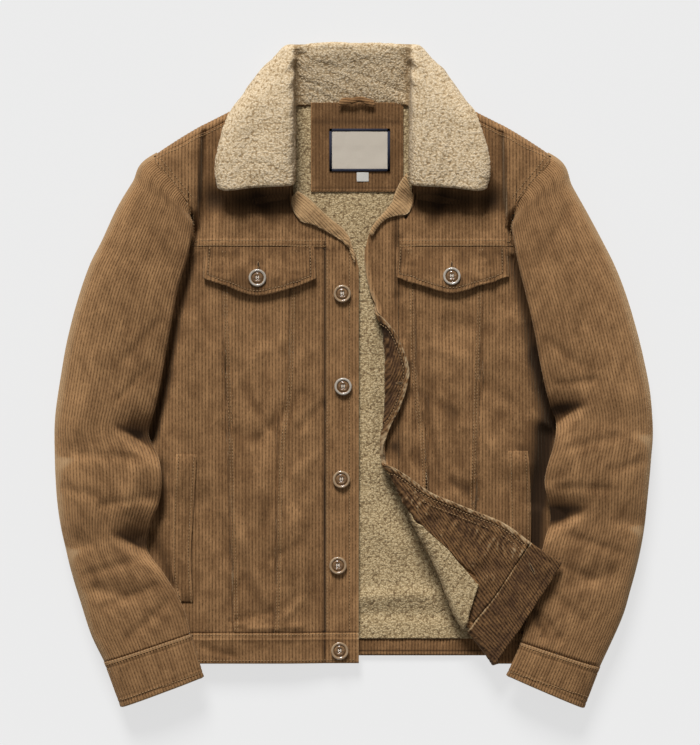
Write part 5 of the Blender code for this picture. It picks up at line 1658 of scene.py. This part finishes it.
def add_buttons():
    """Turned resin buttons with a raised rim, a dished middle and four holes crossed by thread."""
    dish = BUTTON_THICK - 1.3
    rim_profile = [
        (BUTTON_RADIUS - 3.6, 0), (BUTTON_RADIUS - 3.6, dish), (BUTTON_RADIUS - 2.7, dish + 0.9),
        (BUTTON_RADIUS - 1.7, BUTTON_THICK), (BUTTON_RADIUS - 0.7, BUTTON_THICK - 0.1),
        (BUTTON_RADIUS, BUTTON_THICK - 0.9), (BUTTON_RADIUS - 0.6, 1.2), (BUTTON_RADIUS - 2.4, 0),
        (BUTTON_RADIUS - 3.6, 0),
    ]
    for name, x, y, lies_on in BUTTONS:
        slope_x = (front_height(x + 6.0, y) - front_height(x - 6.0, y)) / 12
        slope_y = (front_height(x, y + 6.0) - front_height(x, y - 6.0)) / 12
        base = front_form(np.array(float(x)), np.array(float(y))) + lies_on + CLEAR + 0.6
        bm = bmesh.new()
        points = [bm.verts.new((r, 0, z)) for r, z in rim_profile[:-1]]
        edges = [bm.edges.new(pair) for pair in zip(points, points[1:] + points[:1])]
        bmesh.ops.spin(
            bm, geom=points + edges, cent=(0, 0, 0), axis=(0, 0, 1), angle=2 * np.pi, steps=56,
            use_merge=True, use_duplicate=False,
        )
        add_button_middle(bm, BUTTON_RADIUS - 3.7, dish)
        bmesh.ops.recalc_face_normals(bm, faces=bm.faces)
        settle(bm, slope_x, slope_y, (x, y, base))
        mesh = mesh_of(f"{name}_resin", bm)
        add_piece(f"{name}_resin", mesh, BUTTON_RESIN, name, slot="horn_plastic")
        # The rim's faces take the rim material, paler as a painted reflection on some buttons
        mesh.materials.append(GLINT_RIM if name in GLINTING_BUTTONS else BUTTON_RIM)
        for side in mesh.polygons:
            out = np.hypot(side.center.x / MM - x, side.center.y / MM - y)
            side.material_index = int(out > BUTTON_RADIUS - 2.3 and side.center.z / MM > base - 4)
        bm = bmesh.new()
        for offset in (-1.3, 1.3):
            bar = bmesh.ops.create_uvsphere(bm, u_segments=10, v_segments=8, radius=1)["verts"]
            bmesh.ops.scale(bm, verts=bar, vec=(0.75, 2.3, 0.6))
            bmesh.ops.translate(bm, verts=bar, vec=(offset, 0, dish + 0.15))
        settle(bm, slope_x, slope_y, (x, y, base))
        add_piece(f"{name}_thread", mesh_of(f"{name}_thread", bm), BUTTON_THREAD, slot="horn_plastic")


def add_button_middle(bm, radius, high):
    """The button's floor, a disc with four holes through it."""
    outlines = bmesh.ops.create_circle(bm, segments=40, radius=radius)["verts"]
    for across in (-1.3, 1.3):
        for lengthwise in (-1.5, 1.5):
            hole = bmesh.ops.create_circle(bm, segments=12, radius=0.85)["verts"]
            bmesh.ops.translate(bm, verts=hole, vec=(across, lengthwise, 0))
            outlines = outlines + hole
    edges = list({edge for vert in outlines for edge in vert.link_edges})
    filled = bmesh.ops.triangle_fill(bm, use_beauty=True, edges=edges)["geom"]
    faces = [item for item in filled if isinstance(item, bmesh.types.BMFace)]
    raised = bmesh.ops.extrude_face_region(bm, geom=faces, use_keep_orig=True)["geom"]
    points = [item for item in raised if isinstance(item, bmesh.types.BMVert)]
    bmesh.ops.translate(bm, verts=points, vec=(0, 0, high))


def settle(bm, slope_x, slope_y, place):
    """Turns what was made at the origin, in millimetres, with the cloth it lies on, and places it."""
    for vert in bm.verts:
        vert.co.z += slope_x * vert.co.x + slope_y * vert.co.y
    bmesh.ops.translate(bm, verts=bm.verts, vec=place)
    bmesh.ops.scale(bm, verts=bm.verts, vec=(MM, MM, MM))


def stitch_line(points, step=STITCH_STEP):
    """Middles and ways of the stitches along a run of points."""
    run = run_along(points)
    at = np.arange(step / 2, run[-1], step)
    middles = np.column_stack([np.interp(at, run, points[:, i]) for i in range(3)])
    ahead = np.column_stack([np.interp(at + 1, run, points[:, i]) for i in range(3)])
    before = np.column_stack([np.interp(at - 1, run, points[:, i]) for i in range(3)])
    return middles, unit(ahead - before)


def add_stitching(name, runs, high=0.4, step=STITCH_STEP, size=(0.5, STITCH / 2, 0.42), look=THREAD):
    """Stitches along runs of points, as one mesh: each is a short bead of thread."""
    bm = bmesh.new()
    bmesh.ops.create_uvsphere(bm, u_segments=5, v_segments=4, radius=1)
    bead = mesh_of("bead", bm)
    shape = np.array([vert.co[:] for vert in bead.vertices]) * size
    sides = [list(face.vertices) for face in bead.polygons]
    places, ways = (np.concatenate(item) for item in zip(*(stitch_line(run, step) for run in runs)))
    aside = unit(np.cross(ways, (0, 0, 1)))
    up = np.cross(aside, ways)
    points = (
        places[:, None] + shape[None, :, 0:1] * aside[:, None] + shape[None, :, 1:2] * ways[:, None]
        + (shape[None, :, 2:3] + high) * up[:, None]
    )
    faces = [[corner + k * len(shape) for corner in side] for k in range(len(places)) for side in sides]
    mesh = bpy.data.meshes.new(name)
    mesh.from_pydata((points.reshape(-1, 3) * MM).tolist(), [], faces)
    bpy.data.meshes.remove(bead)
    return add_piece(name, mesh, look, slot="corduroy")


def add_front_stitching():
    """Double rows along the fronts' seams, and the rows that the other pieces have left in SEWN."""
    runs = []
    y = np.arange(HEM_SEAM + 3, YOKE_EDGE - 2, 3.0)
    for sign in (-1, 1):
        for seam in (OUTER_SEAM, INNER_SEAM):
            for inset in (1.8, 4.7):
                x = along(seam, y) - inset
                shown = np.ones_like(y, bool)
                if sign > 0:
                    shown = y > fold_y(x) + 2
                run = on_front(sign * x[shown], y[shown])
                runs.append(run)
        for rise in (1.8, 7.7):
            out = np.arange(SEAM_RIGHT + 1 if sign < 0 else SEAM_LEFT + 1, 180, 3.0)
            runs.append(on_front(sign * out, np.full_like(out, YOKE_EDGE + rise)))
    for inset in (1.8, PLACKET - PLACKET_ROW):
        y = np.arange(HEM_SEAM + 3, 140 if inset < 5 else 150, 3.0)
        runs.append(on_front(np.full_like(y, -SEAM_RIGHT + inset), y, 0.5))
    for drop in (1.8, 32):
        x = np.arange(-246, EDGE_RIGHT - 3, 3.0)
        runs.append(on_front(x, np.full_like(x, HEM_SEAM - drop), 0.5))
    add_stitching("front_topstitching", runs)
    add_stitching("edge_topstitching", SEWN)


def add_buttonholes():
    """Worked buttonholes: close stitches round a slit, which is a row of dark beads painted as the shade in
    the opening.
    """
    borders = []
    for count, (x0, y0, x1, y1, high, turned) in enumerate(BUTTONHOLES):
        length = np.hypot(x1 - x0, y1 - y0)
        ahead = np.array([x1 - x0, y1 - y0]) / length
        angle = np.linspace(0, 2 * np.pi, 40)
        oval = np.array([(x0 + x1) / 2, (y0 + y1) / 2]) + np.outer(np.cos(angle) * length / 2, ahead)
        oval = oval + np.outer(np.sin(angle) * 1.3, (-ahead[1], ahead[0]))
        slit = np.linspace((x0, y0), (x1, y1), 5)
        for rows, store in ((oval, borders), (slit, None)):
            if turned:
                under = np.full(len(rows), -(CLOTH + GAP + FACING) - 0.4)
                points = turned_back(rows[:, 0], rows[:, 1], under)
            else:
                points = on_front(rows[:, 0], rows[:, 1], high)
            if store is not None:
                store.append(points)
                continue
            size = (0.8, length * 0.42, 0.4)
            add_stitching(f"buttonhole_slit_{count}", [points[1:-1]], 0.35, length * 0.5, size, SLIT)
    add_stitching("buttonhole_stitches", borders, 0.3, 0.9, (0.4, 0.6, 0.4))


def add_studio():
    """A pale floor, a soft key from beyond the collar, a fill, and the camera straight above."""
    bm = bmesh.new()
    bmesh.ops.create_grid(bm, x_segments=1, y_segments=1, size=6)
    mesh = mesh_of("floor", bm)
    floor = bpy.data.objects.new("floor", mesh)
    bpy.context.scene.collection.objects.link(floor)
    mesh.materials.append(plain_material(
        "matt_light_table", "#6b6b6b", "#696969", 0.3, 0.01 * MM, roughness=0.9, metallic=0.0, ior=1.5,
        emission_color=(1, 1, 1, 1), emission_strength=FLOOR_GLOW,
    ))
    floor.location = (0, 0, -0.0008)

    world = bpy.data.worlds.new("studio")
    world.use_nodes = True
    world.node_tree.nodes["Background"].inputs["Color"].default_value = (1, 1, 1, 1)
    world.node_tree.nodes["Background"].inputs["Strength"].default_value = FILL
    bpy.context.scene.world = world
    lamp = bpy.data.lights.new("key", "SUN")
    lamp.energy = KEY_POWER
    lamp.angle = KEY_WIDE
    stand = bpy.data.objects.new("key", lamp)
    stand.rotation_euler = (-Vector(KEY_FROM)).to_track_quat("-Z", "Y").to_euler()
    bpy.context.scene.collection.objects.link(stand)

    lens = bpy.data.cameras.new("overhead")
    lens.sensor_fit = "HORIZONTAL"
    lens.sensor_width = 36
    lens.lens = 36 * CAMERA_HIGH / FRAME_WIDE
    overhead = bpy.data.objects.new("overhead", lens)
    overhead.location = (*CAMERA_PLACE, CAMERA_HIGH + CAMERA_LEVEL)
    bpy.context.scene.collection.objects.link(overhead)
    bpy.context.scene.camera = overhead
    bpy.context.scene.view_settings.view_transform = "Standard"


add_back()
add_lining()
add_front_panels()
add_front_yokes()
add_right_placket()
add_hem_bands()
add_left_edge()
add_neck_turns()
add_collar()
add_sleeves()
add_flaps_and_welts()
add_buttons()
add_front_stitching()
add_buttonholes()
add_studio()
